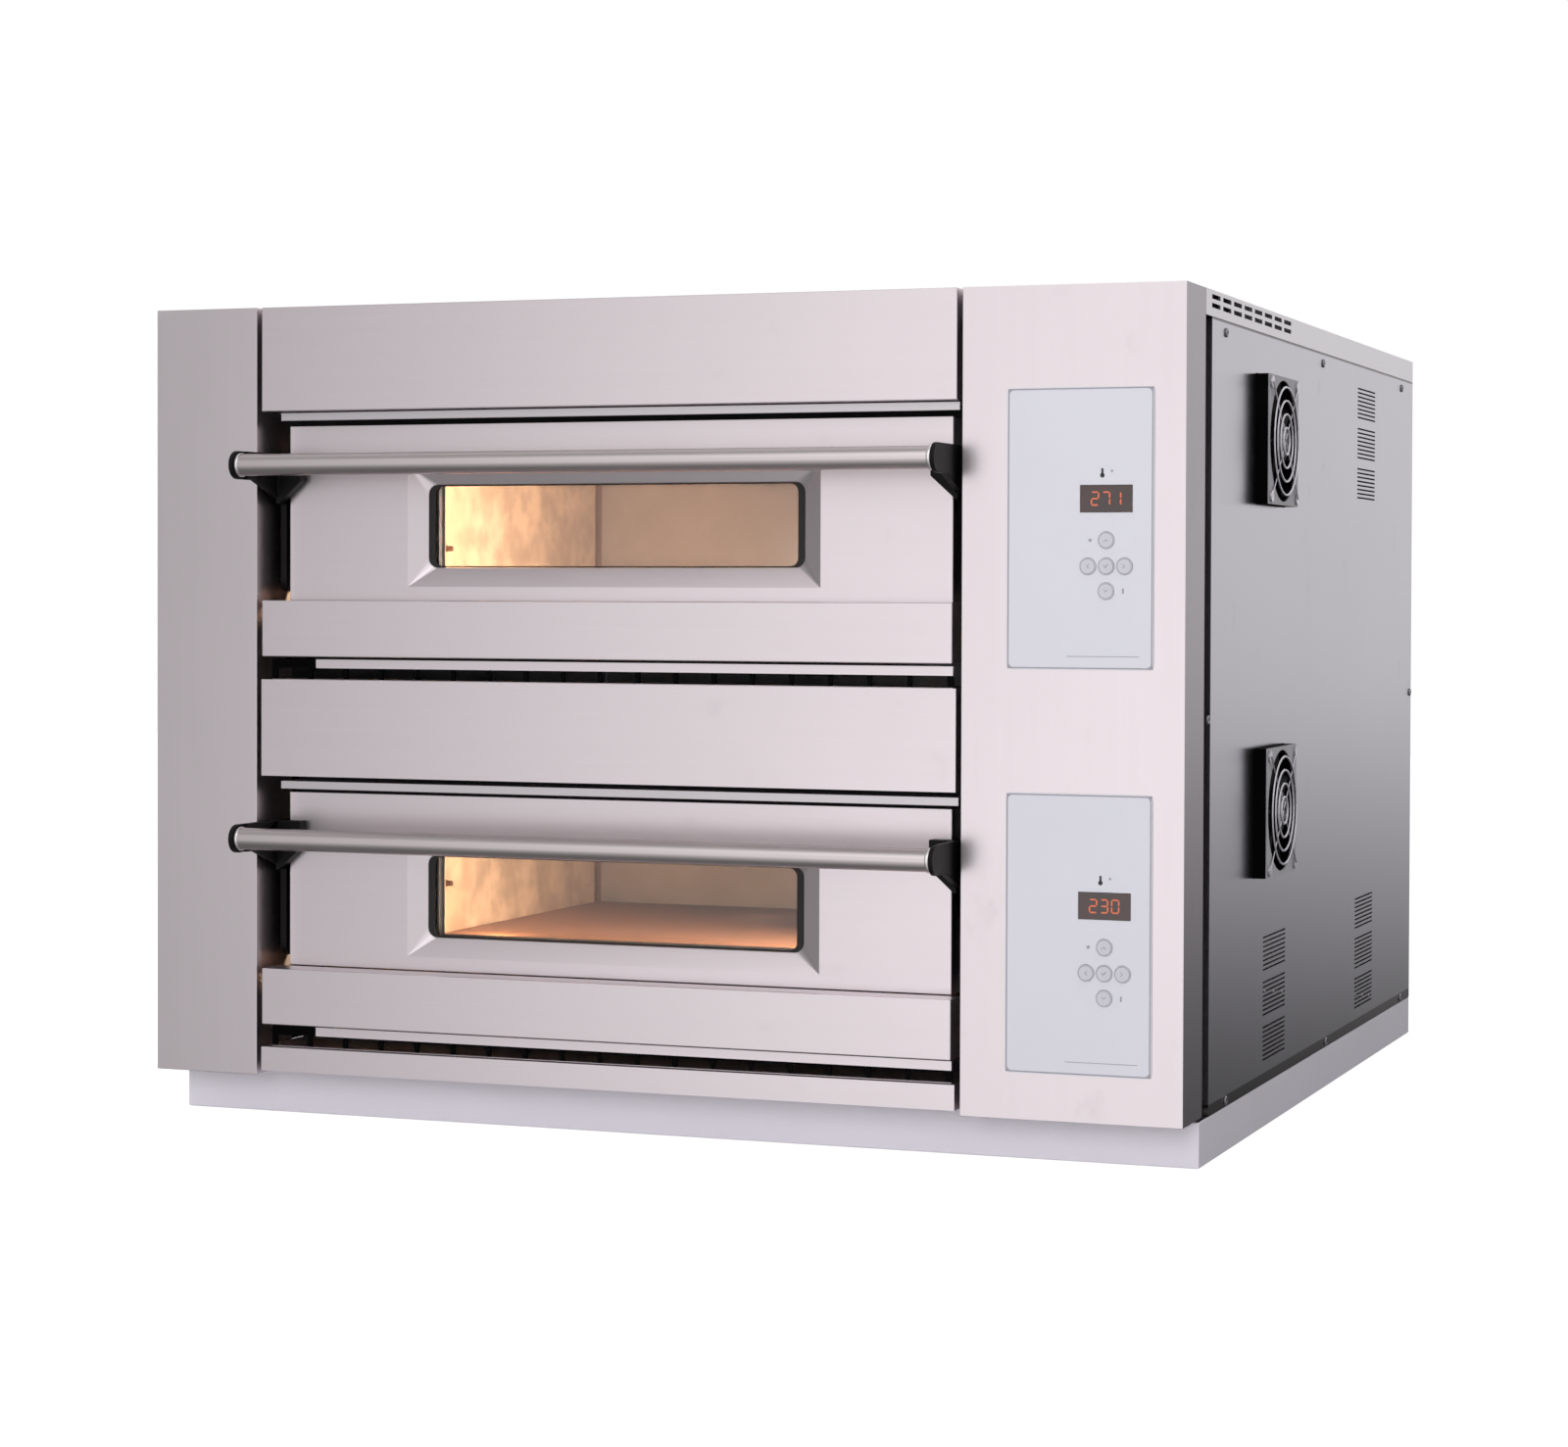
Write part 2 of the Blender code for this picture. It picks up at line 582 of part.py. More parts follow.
def chamber(deck, sill_top):
    """A deep sheet box with a flange round its mouth, the hearth stone on its floor, the ceiling element
    under its roof and the lamp lens on its left wall."""
    left, right = DOOR_CENTRE - CHAMBER_HALF_WIDTH, DOOR_CENTRE + CHAMBER_HALF_WIDTH
    floor = sill_top + STONE_RISE - STONE_THICKNESS - FIT
    roof = sill_top + STONE_RISE + CHAMBER_HEIGHT
    shape = bmesh.new()
    rim_gap = 2 * FIT + SHEET
    rim = loop_of(shape, (FIELD_LEFT + rim_gap, sill_top - CHAMBER_FLANGE_BELOW),
                  (FIELD_RIGHT - rim_gap, sill_top + CHAMBER_FLANGE_TOP), CHAMBER_FACE)
    mouth = loop_of(shape, (left, floor), (right, roof), CHAMBER_FACE)
    end = loop_of(shape, (left, floor), (right, roof), CHAMBER_BACK)
    join_loops(shape, rim, mouth)
    join_loops(shape, mouth, end)
    shape.faces.new(end)
    open_sheet(f"{deck}_chamber_liner", shape, (0, -1, 0), "liner_steel", SHEET)

    gap = STONE_SIDE_GAP
    stone = box(f"{deck}_hearth_stone", (left + gap, CHAMBER_FACE + SHEET + gap, floor + FIT),
                (right - gap, CHAMBER_BACK - gap, floor + FIT + STONE_THICKNESS), "hearth_stone")
    edge = stone.modifiers.new("arris", "BEVEL")
    edge.width = STONE_SIDE_GAP
    edge.segments = 1

    ceiling_heater(deck, left, right, roof - HEATER_DROP)

    lens = bmesh.new()
    start = (left + FIT, CHAMBER_FACE + LAMP_SETBACK, sill_top + LAMP_RISE)
    add_cylinder(lens, start, (1, 0, 0), LAMP_DEPTH, LAMP_RADIUS, LAMP_TIP_RADIUS)
    smooth(new_object(f"{deck}_lamp_lens", lens, "lamp_glass", start))


def serpentine(left, right, front, back, runs, bend_steps=6):
    """Points of a tube that runs to and fro between front and back, with half-round bends."""
    pitch = (right - left) / (runs - 1)
    radius = pitch / 2
    points = [(left, back)]
    for i in range(runs - 1):
        x = left + i * pitch
        if i % 2 == 0:
            points += arc((x + radius, front + radius), radius, 180, 360, bend_steps)
        else:
            points += arc((x + radius, back - 2 * radius), radius, 180, 0, bend_steps)
    points.append((right, back))
    return points


def ceiling_heater(deck, left, right, z):
    """A sheathed element that leaves through the back wall at both ends."""
    points = serpentine(left + HEATER_MARGIN, right - HEATER_MARGIN, CHAMBER_FACE + HEATER_MARGIN,
                        CHAMBER_BACK - HEATER_END_GAP, HEATER_RUNS)
    name = f"{deck}_ceiling_heater"
    curve = bpy.data.curves.new(name, "CURVE")
    curve.dimensions = "3D"
    curve.bevel_depth = HEATER_RADIUS
    curve.bevel_resolution = 1
    curve.use_fill_caps = True
    line = curve.splines.new("POLY")
    line.points.add(len(points) - 1)
    for knot, (x, y) in zip(line.points, points):
        knot.co = (x, y, z, 1)
    curve.materials.append(finish_material("heater_sheath"))
    bpy.context.scene.collection.objects.link(bpy.data.objects.new(name, curve))


# ---- Doors ----


def hinge_plates():
    """One plate behind each column's inner wall, with a riveted pin for each door."""
    low_z = LOWER_SILL_TOP + HINGE_RISE - HINGE_PLATE_MARGIN
    high_z = UPPER_SILL_TOP + HINGE_RISE + HINGE_PLATE_MARGIN
    reach = SHEET + FIT + BRACKET_CLEARANCE + BRACKET_WIDTH - JOINT_GAP
    for name, x, inward in (("left", FIELD_LEFT, 1), ("right", FIELD_RIGHT, -1)):
        near = x - inward * (SHEET + FIT)
        far = near - inward * HINGE_PLATE_THICKNESS
        plate = box(f"{name}_hinge_plate", (min(near, far), FRONT + SHEET + FIT, low_z),
                    (max(near, far), FRONT + COLUMN_DEPTH - FIT, high_z), "hinge_steel")
        pins = bmesh.new()
        for _, sill_top, _ in DECKS:
            start = (near - inward * HINGE_PLATE_THICKNESS / 2, HINGE_AXIS, sill_top + HINGE_RISE)
            length = reach + HINGE_PLATE_THICKNESS / 2
            add_cylinder(pins, start, (inward, 0, 0), length, PIN_RADIUS, sides=16)
        combine(plate, "UNION", helper(f"{name}_pins", pins))


def door_skin(deck, sill_top):
    """The outer sheet: flanged all round, with a mitred bevel that leads in to a round-cornered window."""
    low = (DOOR_LEFT, sill_top)
    high = (DOOR_RIGHT, sill_top + DOOR_HEIGHT)
    window_low = (DOOR_CENTRE - WINDOW_WIDTH / 2, sill_top + WINDOW_RISE)
    window_high = (DOOR_CENTRE + WINDOW_WIDTH / 2, sill_top + WINDOW_RISE + WINDOW_HEIGHT)
    shape = bmesh.new()
    flange = loop_of(shape, low, high, DOOR_FACE + DOOR_SKIN_DEPTH)
    edge = loop_of(shape, low, high, DOOR_FACE)
    bevel = loop_of(shape, (window_low[0] - BEVEL_WIDTH, window_low[1] - BEVEL_WIDTH),
                    (window_high[0] + BEVEL_WIDTH, window_high[1] + BEVEL_WIDTH), DOOR_FACE)
    join_loops(shape, flange, edge)
    join_loops(shape, edge, bevel)
    steps = CORNER_STEPS
    outline = rounded_rectangle(window_low, window_high, WINDOW_CORNER)
    inner = [shape.verts.new((x, DOOR_FACE + BEVEL_DEPTH, z)) for x, z in outline]
    for i in range(4):
        first = i * (steps + 1)
        for k in range(first, first + steps):
            shape.faces.new((bevel[i], inner[k + 1], inner[k]))
        after = (first + steps + 1) % len(inner)
        shape.faces.new((bevel[i], bevel[(i + 1) % 4], inner[after], inner[first + steps]))
    open_sheet(f"{deck}_door_skin", shape, (0, -1, 0), "stainless", DOOR_SHEET)


def door_liner(deck, sill_top):
    """The inner tray. Its lower edge slopes, so that it clears the chamber's flange as the door drops."""
    front = DOOR_FACE + DOOR_SKIN_DEPTH + DOOR_SHEET
    back = front + DOOR_LINER_DEPTH
    bottom = sill_top + DOOR_LINER_INSET
    top = sill_top + DOOR_HEIGHT - DOOR_LINER_INSET
    left, right = DOOR_LEFT + DOOR_LINER_INSET, DOOR_RIGHT - DOOR_LINER_INSET
    back_bottom = bottom + DOOR_CHAMFER_RISE - DOOR_LINER_INSET
    outline = ((front, bottom), (back, back_bottom), (back, top), (front, top))
    shape = bmesh.new()
    near = [shape.verts.new((left, y, z)) for y, z in outline]
    far = [shape.verts.new((right, y, z)) for y, z in outline]
    shape.faces.new(near)
    shape.faces.new(far)
    for i in range(3):
        shape.faces.new((near[i], near[i + 1], far[i + 1], far[i]))
    liner = open_sheet(f"{deck}_door_liner", shape, (0, 1, 0), "liner_steel", DOOR_SHEET)
    hole_low = (DOOR_CENTRE - WINDOW_WIDTH / 2, back - 3 * DOOR_SHEET, sill_top + WINDOW_RISE)
    hole_high = (DOOR_CENTRE + WINDOW_WIDTH / 2, back + DOOR_SHEET, sill_top + WINDOW_RISE + WINDOW_HEIGHT)
    return cut_boxes(liner, f"{deck}_liner_window", [(hole_low, hole_high)])


def door_glass(deck, sill_top):
    """Two panes: one behind the skin's bevel, one behind the liner's opening."""
    half = WINDOW_WIDTH / 2 + GLASS_LAP
    bottom = sill_top + WINDOW_RISE - GLASS_LAP
    top = sill_top + WINDOW_RISE + WINDOW_HEIGHT + GLASS_LAP
    outer = DOOR_FACE + BEVEL_DEPTH + OUTER_GLASS_GAP
    inner = DOOR_FACE + DOOR_SKIN_DEPTH + DOOR_LINER_DEPTH - GLASS_THICKNESS - FIT
    for name, y in (("outer", outer), ("inner", inner)):
        box(f"{deck}_{name}_glass", (DOOR_CENTRE - half, y, bottom),
            (DOOR_CENTRE + half, y + GLASS_THICKNESS, top), "window_glass")


def handle_bar(deck, sill_top):
    """A steel tube, open at its ends, which the brackets cap."""
    z = sill_top + BAR_RISE
    shape = bmesh.new()
    start = (DOOR_CENTRE - BAR_HALF_LENGTH, BAR_AXIS, z)
    add_cylinder(shape, start, (1, 0, 0), 2 * BAR_HALF_LENGTH, BAR_DIAMETER / 2)
    bar = new_object(f"{deck}_handle_bar", shape, "bar_steel", (DOOR_CENTRE, BAR_AXIS, z))
    bore = bmesh.new()
    start = (DOOR_CENTRE - BAR_HALF_LENGTH - SHEET, BAR_AXIS, z)
    add_cylinder(bore, start, (1, 0, 0), 2 * (BAR_HALF_LENGTH + SHEET), BAR_DIAMETER / 2 - BAR_WALL)
    smooth(combine(bar, "DIFFERENCE", helper(f"{deck}_bar_bore", bore)))


def handle_bracket(deck, side, sill_top):
    """A black moulding: a cap on the bar's end, a web with a sloping gusset, a foot that spreads on the
    door's face, and an arm down to the pin."""
    bar_z = sill_top + BAR_RISE
    hinge_z = sill_top + HINGE_RISE
    arm_front, arm_back = HINGE_AXIS - ARM_HALF_DEPTH, HINGE_AXIS + ARM_HALF_DEPTH
    web_bottom = bar_z - BRACKET_CAP_RADIUS
    outline = arc((BAR_AXIS, bar_z), BRACKET_CAP_RADIUS, 90, 270, 12)
    outline += [(BAR_AXIS + GUSSET_REACH, web_bottom), (arm_front, web_bottom - GUSSET_DROP)]
    outline += arc((HINGE_AXIS, hinge_z), ARM_HALF_DEPTH, 180, 360, 12)
    outline.append((arm_back, bar_z + BRACKET_CAP_RADIUS))
    sign = -1 if side == "left" else 1
    outer = DOOR_CENTRE + sign * BRACKET_OUTER
    cap_face = outer - sign * BRACKET_CAP_WIDTH
    inner = outer - sign * BRACKET_WIDTH
    bracket = prism(f"{deck}_{side}_bracket", "X", outline, outer, inner, "black_moulding")
    beyond = inner - sign * SHEET
    relief_back = BAR_AXIS + BAR_DIAMETER / 2 + 2 * FIT
    cut_boxes(bracket, f"{deck}_{side}_relief", [(
        (min(cap_face, beyond), BAR_AXIS - 2 * BRACKET_CAP_RADIUS, bar_z - 2 * BRACKET_CAP_RADIUS),
        (max(cap_face, beyond), relief_back, bar_z + 2 * BRACKET_CAP_RADIUS))])
    root = inner + sign * SHEET
    tip = inner - sign * FOOT_WIDTH
    top = bar_z + BRACKET_CAP_RADIUS
    low = web_bottom - GUSSET_DROP
    spread = [(root, low), (inner, low), (tip, web_bottom), (tip, top - FIT), (root, top - FIT)]
    foot_front, foot_back = DOOR_FACE - FOOT_DEPTH, DOOR_FACE - FIT
    foot = prism(f"{deck}_{side}_foot", "Y", spread, foot_front, foot_back, "black_moulding")
    combine(bracket, "UNION", hidden(foot))
    hole = bmesh.new()
    start = (outer + sign * SHEET, HINGE_AXIS, hinge_z)
    add_cylinder(hole, start, (-sign, 0, 0), BRACKET_WIDTH + 2 * SHEET, PIN_RADIUS + FIT, sides=16)
    combine(bracket, "DIFFERENCE", helper(f"{deck}_{side}_pin_hole", hole))


def door(deck, sill_top):
    """Everything that swings down about the pins, parented to an empty on their axis."""
    pivot = bpy.data.objects.new(f"{deck}_door_axis", None)
    pivot.location = (DOOR_CENTRE, HINGE_AXIS, sill_top + HINGE_RISE)
    bpy.context.scene.collection.objects.link(pivot)
    door_skin(deck, sill_top)
    door_liner(deck, sill_top)
    door_glass(deck, sill_top)
    handle_bar(deck, sill_top)
    handle_bracket(deck, "left", sill_top)
    handle_bracket(deck, "right", sill_top)
    for part in ("door_skin", "door_liner", "outer_glass", "inner_glass", "handle_bar", "left_bracket",
                 "right_bracket"):
        attach(bpy.data.objects[f"{deck}_{part}"], pivot)


# ---- Controls ----


def key_places(panel_top):
    """The five keys: one above, three in a row, one below."""
    top, middle, bottom = (panel_top - drop for drop in KEY_ROW_DROPS)
    return (("top", CONTROL_X, top), ("left", CONTROL_X - KEY_PITCH, middle), ("middle", CONTROL_X, middle),
            ("right", CONTROL_X + KEY_PITCH, middle), ("bottom", CONTROL_X, bottom))


def control_panel(deck, panel_top):
    """A printed membrane with holes for its display and keys, and the board behind them."""
    left = RIGHT - PANEL_MARGIN - PANEL_WIDTH
    low_corner, high_corner = (left, panel_top - PANEL_HEIGHT), (left + PANEL_WIDTH, panel_top)
    outline = rounded_rectangle(low_corner, high_corner, PANEL_CORNER)
    membrane = prism(f"{deck}_control_membrane", "Y", outline, PANEL_FACE, FRONT - FIT, "membrane")
    display_z = panel_top - DISPLAY_DROP
    holes = bmesh.new()
    half_x, half_z = DISPLAY_WIDTH / 2 + FIT, DISPLAY_HEIGHT / 2 + FIT
    add_box(holes, (CONTROL_X - half_x, PANEL_FACE - SHEET, display_z - half_z),
            (CONTROL_X + half_x, FRONT + SHEET, display_z + half_z))
    for _, x, z in key_places(panel_top):
        start = (x, PANEL_FACE - SHEET, z)
        add_cylinder(holes, start, (0, 1, 0), PANEL_THICKNESS + 2 * SHEET, KEY_RADIUS + FIT)
    combine(membrane, "DIFFERENCE", helper(f"{deck}_membrane_holes", holes))

    lens_face = PANEL_FACE - DISPLAY_PROUD
    box(f"{deck}_display", (CONTROL_X - DISPLAY_WIDTH / 2, lens_face, display_z - DISPLAY_HEIGHT / 2),
        (CONTROL_X + DISPLAY_WIDTH / 2, lens_face + DISPLAY_DEPTH, display_z + DISPLAY_HEIGHT / 2),
        "display_lens")

    for name, x, z in key_places(panel_top):
        key = bmesh.new()
        start = (x, PANEL_FACE - KEY_PROUD, z)
        add_cylinder(key, start, (0, 1, 0), KEY_LENGTH, KEY_RADIUS)
        smooth(new_object(f"{deck}_key_{name}", key, "key_film", start))

    board_front = PANEL_FACE - KEY_PROUD + KEY_LENGTH + KEY_TRAVEL + FIT
    half = DISPLAY_WIDTH / 2 + CUTOUT_MARGIN + BOARD_MARGIN
    low = panel_top - KEY_ROW_DROPS[-1] - KEY_RADIUS - BOARD_MARGIN
    high = display_z + DISPLAY_HEIGHT / 2 + BOARD_MARGIN
    box(f"{deck}_control_board", (CONTROL_X - half, board_front, low),
        (CONTROL_X + half, board_front + BOARD_THICKNESS, high), "circuit_board")


# ---- Fans ----


def fan(deck, sill_top):
    """A compact axial fan let into the right side panel: frame, rotor and wire finger guard."""
    z = sill_top + FAN_RISE
    half = FAN_SIZE / 2
    back = FAN_FACE - FAN_DEPTH
    frame = box(f"{deck}_fan_frame", (back, FAN_Y - half, z - half), (FAN_FACE, FAN_Y + half, z + half),
                "fan_black")
    duct = bmesh.new()
    add_cylinder(duct, (back - SHEET, FAN_Y, z), (1, 0, 0), FAN_DEPTH + 2 * SHEET, FAN_DUCT_RADIUS, sides=32)
    combine(frame, "DIFFERENCE", helper(f"{deck}_fan_duct", duct))
    seat = bmesh.new()
    add_cylinder(seat, (back, FAN_Y, z), (1, 0, 0), FAN_STRUT, FAN_HUB_RADIUS)
    combine(frame, "UNION", helper(f"{deck}_fan_seat", seat))
    reach = FAN_DUCT_RADIUS + SHEET
    for name, dy, dz in (("level", reach, FAN_STRUT / 2), ("upright", FAN_STRUT / 2, reach)):
        strut = bmesh.new()
        inset = 2 * FIT
        add_box(strut, (back + inset, FAN_Y - dy, z - dz), (back + FAN_STRUT - inset, FAN_Y + dy, z + dz))
        combine(frame, "UNION", helper(f"{deck}_fan_{name}_strut", strut))

    fan_rotor(deck, z, back + FAN_STRUT + 2 * FIT)
    fan_guard(deck, z)


def fan_rotor(deck, z, start_x):
    """A hub with pitched blades, turning about X."""
    hub_length = FAN_DEPTH - FAN_STRUT - 2 * FIT - FAN_END_GAP
    centre = Vector((start_x, FAN_Y, z))
    hub = bmesh.new()
    add_cylinder(hub, centre, (1, 0, 0), hub_length, FAN_HUB_RADIUS)
    rotor = new_object(f"{deck}_fan_rotor", hub, "fan_black", centre)
    tip = FAN_DUCT_RADIUS - FAN_TIP_GAP
    chord = FAN_BLADE_CHORD
    for i in range(FAN_BLADES):
        blade = bmesh.new()
        thick = FAN_BLADE_THICKNESS
        add_box(blade, (-chord / 2, -thick / 2, FAN_HUB_RADIUS / 2), (chord / 2, thick / 2, tip))
        pitch = Matrix.Rotation(math.radians(FAN_BLADE_ANGLE), 4, "Z")
        spoke = Matrix.Rotation(2 * math.pi * i / FAN_BLADES, 4, "X")
        place = Matrix.Translation(centre + Vector((hub_length / 2, 0, 0)))
        bmesh.ops.transform(blade, matrix=place @ spoke @ pitch, verts=blade.verts)
        combine(rotor, "UNION", helper(f"{deck}_fan_blade_{i}", blade))


def add_ring(shape, centre, radius, wire, segments=32, sides=6):
    """A closed wire ring that lies square to X."""
    rings = []
    for i in range(segments):
        turn = 2 * math.pi * (i + GUARD_RING_PHASE) / segments
        ring = []
        for k in range(sides):
            lean = 2 * math.pi * k / sides
            out = radius + wire * math.cos(lean)
            place = centre + Vector((wire * math.sin(lean), out * math.cos(turn), out * math.sin(turn)))
            ring.append(shape.verts.new(place))
        rings.append(ring)
    for i in range(segments):
        join_loops(shape, rings[i], rings[(i + 1) % segments])
    bmesh.ops.recalc_face_normals(shape, faces=shape.faces)


def fan_guard(deck, z):
    """Concentric wire rings on two diagonal spokes, which end in fixing eyes at the frame's corners."""
    centre = Vector((FAN_FACE + FIT + 2 * GUARD_WIRE, FAN_Y, z))
    rings = bmesh.new()
    spacing = FAN_DUCT_RADIUS / (GUARD_RINGS + 0.5)
    for i in range(GUARD_RINGS):
        add_ring(rings, centre, spacing * (i + 1), GUARD_WIRE)
    guard = new_object(f"{deck}_fan_guard", rings, "guard_wire")
    reach = GUARD_FIXING * math.sqrt(2)
    for name, side, sink in (("rising", 1, GUARD_WIRE), ("falling", -1, GUARD_WIRE / 2)):
        along = Vector((0, 1, side)).normalized()
        spoke = bmesh.new()
        start = centre - along * reach - Vector((sink, 0, 0))
        add_cylinder(spoke, start, along, 2 * reach, GUARD_SPOKE, sides=7)
        combine(guard, "UNION", helper(f"{deck}_guard_{name}_spoke", spoke))
    eyes = bmesh.new()
    for dy in (-GUARD_FIXING, GUARD_FIXING):
        for dz in (-GUARD_FIXING, GUARD_FIXING):
            start = (FAN_FACE + FIT, FAN_Y + dy, z + dz)
            add_cylinder(eyes, start, (1, 0, 0), 1.5 * GUARD_WIRE, GUARD_EYE_RADIUS, sides=12)
    combine(guard, "UNION", helper(f"{deck}_guard_eyes", eyes))


def clear_scene():
    for found in list(bpy.data.objects):
        bpy.data.objects.remove(found, do_unlink=True)


def build():
    clear_scene()
    base_plinth()
    front_columns()
    front_bands()
    top_cover()
    side_panels()
    back_panel()
    mains_entry()
    hinge_plates()
    for deck, sill_top, panel_top in DECKS:
        door(deck, sill_top)
        loading_sill(deck, sill_top)
        chamber(deck, sill_top)
        control_panel(deck, panel_top)
        fan(deck, sill_top)


build()
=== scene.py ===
import json
import math

import bpy
from mathutils import Matrix, Vector

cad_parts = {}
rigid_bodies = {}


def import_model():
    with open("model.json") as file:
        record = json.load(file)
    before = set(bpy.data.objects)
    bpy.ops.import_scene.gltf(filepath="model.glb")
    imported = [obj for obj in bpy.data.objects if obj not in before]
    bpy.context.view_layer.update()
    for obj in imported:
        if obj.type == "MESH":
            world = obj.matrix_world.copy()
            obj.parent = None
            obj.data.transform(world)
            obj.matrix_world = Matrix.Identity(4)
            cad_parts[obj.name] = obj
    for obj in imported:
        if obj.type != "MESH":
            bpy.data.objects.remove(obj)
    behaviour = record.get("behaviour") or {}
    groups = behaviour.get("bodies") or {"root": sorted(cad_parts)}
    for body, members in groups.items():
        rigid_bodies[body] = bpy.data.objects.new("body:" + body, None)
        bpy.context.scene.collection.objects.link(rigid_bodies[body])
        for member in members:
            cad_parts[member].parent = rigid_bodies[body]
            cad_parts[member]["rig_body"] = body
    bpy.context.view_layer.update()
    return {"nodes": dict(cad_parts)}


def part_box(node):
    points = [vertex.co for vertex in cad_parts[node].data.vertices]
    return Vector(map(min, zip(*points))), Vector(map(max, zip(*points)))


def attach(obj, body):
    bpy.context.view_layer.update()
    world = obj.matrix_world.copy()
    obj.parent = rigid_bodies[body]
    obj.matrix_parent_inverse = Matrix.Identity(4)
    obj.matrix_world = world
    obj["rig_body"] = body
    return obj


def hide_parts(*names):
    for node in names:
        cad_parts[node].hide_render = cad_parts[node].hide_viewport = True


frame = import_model()
bpy.ops.object.select_all(action="DESELECT")

# ---- Camera ----
# A long lens stands low and to the right of the oven, so that the doors and the right side both show.
# Its frame is moved across a little, as a shift lens does, to keep the uprights parallel.

CAMERA_PLACE = (1.20317, -3.23541, 0.49345)
CAMERA_TURN, CAMERA_DROP, CAMERA_ROLL = (math.radians(a) for a in (19.689, 0.958, 0.21))
CAMERA_LENS = 76.2
CAMERA_SHIFT = (-0.0625, -0.0459)

ahead = Vector((-math.sin(CAMERA_TURN) * math.cos(CAMERA_DROP),
                math.cos(CAMERA_TURN) * math.cos(CAMERA_DROP), -math.sin(CAMERA_DROP)))
lens = bpy.data.cameras.new("front_camera")
lens.sensor_width = 36
lens.lens = CAMERA_LENS
lens.shift_x, lens.shift_y = CAMERA_SHIFT
camera = bpy.data.objects.new("front_camera", lens)
bpy.context.scene.collection.objects.link(camera)
camera.location = CAMERA_PLACE
level = ahead.to_track_quat("-Z", "Y").to_matrix()
camera.rotation_euler = (level @ Matrix.Rotation(CAMERA_ROLL, 3, "Z")).to_euler()
bpy.context.scene.camera = camera
bpy.context.scene.view_settings.view_transform = "Standard"

# ---- Studio ----
# A white room. What the steel mirrors is a bright wall in front, which falls off to the left and below, and
# a wall behind whose foot is dark. Matt surfaces are lit evenly, with two large soft lamps.

ROOM_POWER = 2.2
AROUND = ((0.00, 0.38), (0.12, 0.36), (0.25, 0.24), (0.36, 0.11), (0.41, 0.18), (0.445, 0.78), (0.46, 0.86),
          (0.48, 0.70), (0.50, 0.58), (0.56, 0.47), (0.66, 0.42), (0.75, 0.38), (0.92, 0.39), (1.00, 0.41))
FRONT_HEIGHT = ((0.00, 0.30), (0.34, 0.50), (0.42, 0.72), (0.47, 0.80), (0.51, 0.76), (0.56, 0.60),
                (0.62, 0.64), (0.72, 0.95), (0.85, 1.00), (1.00, 0.80))
BACK_HEIGHT = ((0.00, 0.24), (0.30, 0.14), (0.38, 0.05), (0.41, 0.04), (0.435, 0.14), (0.46, 0.46),
               (0.487, 0.88), (0.53, 0.95), (1.00, 0.90))
ROOM_TINT = (1.0, 0.985, 1.0, 1)
MATT_LIGHT = 0.38
SIDE_MARGIN = 0.10
FLOOR_SIZE, FLOOR_GLOW, FLOOR_DROP = 14.0, 0.74, 0.0005


class Value:
    """A node's output, so that a pattern can be written as a sum."""

    def __init__(self, web, socket):
        self.web, self.socket = web, socket

    def math(self, operation, first, second):
        return self.web.node("ShaderNodeMath", {"operation": operation}, {0: first, 1: second})

    def __add__(self, other):
        return self.math("ADD", self, other)

    def __radd__(self, other):
        return self.math("ADD", other, self)

    def __sub__(self, other):
        return self.math("SUBTRACT", self, other)

    def __rsub__(self, other):
        return self.math("SUBTRACT", other, self)

    def __mul__(self, other):
        return self.math("MULTIPLY", self, other)

    def __rmul__(self, other):
        return self.math("MULTIPLY", other, self)

    def __truediv__(self, other):
        return self.math("DIVIDE", self, other)

    def __gt__(self, other):
        return self.math("GREATER_THAN", self, other)

    def __lt__(self, other):
        return self.math("LESS_THAN", self, other)


class Web:
    """A node tree that is built by calls."""

    def __init__(self, tree):
        self.tree = tree

    def node(self, kind, settings=None, sockets=None, output=0):
        made = self.tree.nodes.new(kind)
        for name, value in (settings or {}).items():
            if name == "stops":
                self.set_stops(made.color_ramp.elements, value)
            else:
                setattr(made, name, value)
        for name, value in (sockets or {}).items():
            if isinstance(value, Value):
                self.tree.links.new(value.socket, made.inputs[name])
            else:
                made.inputs[name].default_value = value
        return Value(self, made.outputs[output])

    def set_stops(self, elements, stops):
        while len(elements) < len(stops):
            elements.new(1.0)
        for element, (place, value) in zip(elements, stops):
            element.position = place
            element.color = value if isinstance(value, tuple) else (value, value, value, 1)

    def mix(self, share, first, second):
        return self.node("ShaderNodeMix", {"data_type": "RGBA"}, {0: share, 6: first, 7: second}, 2)


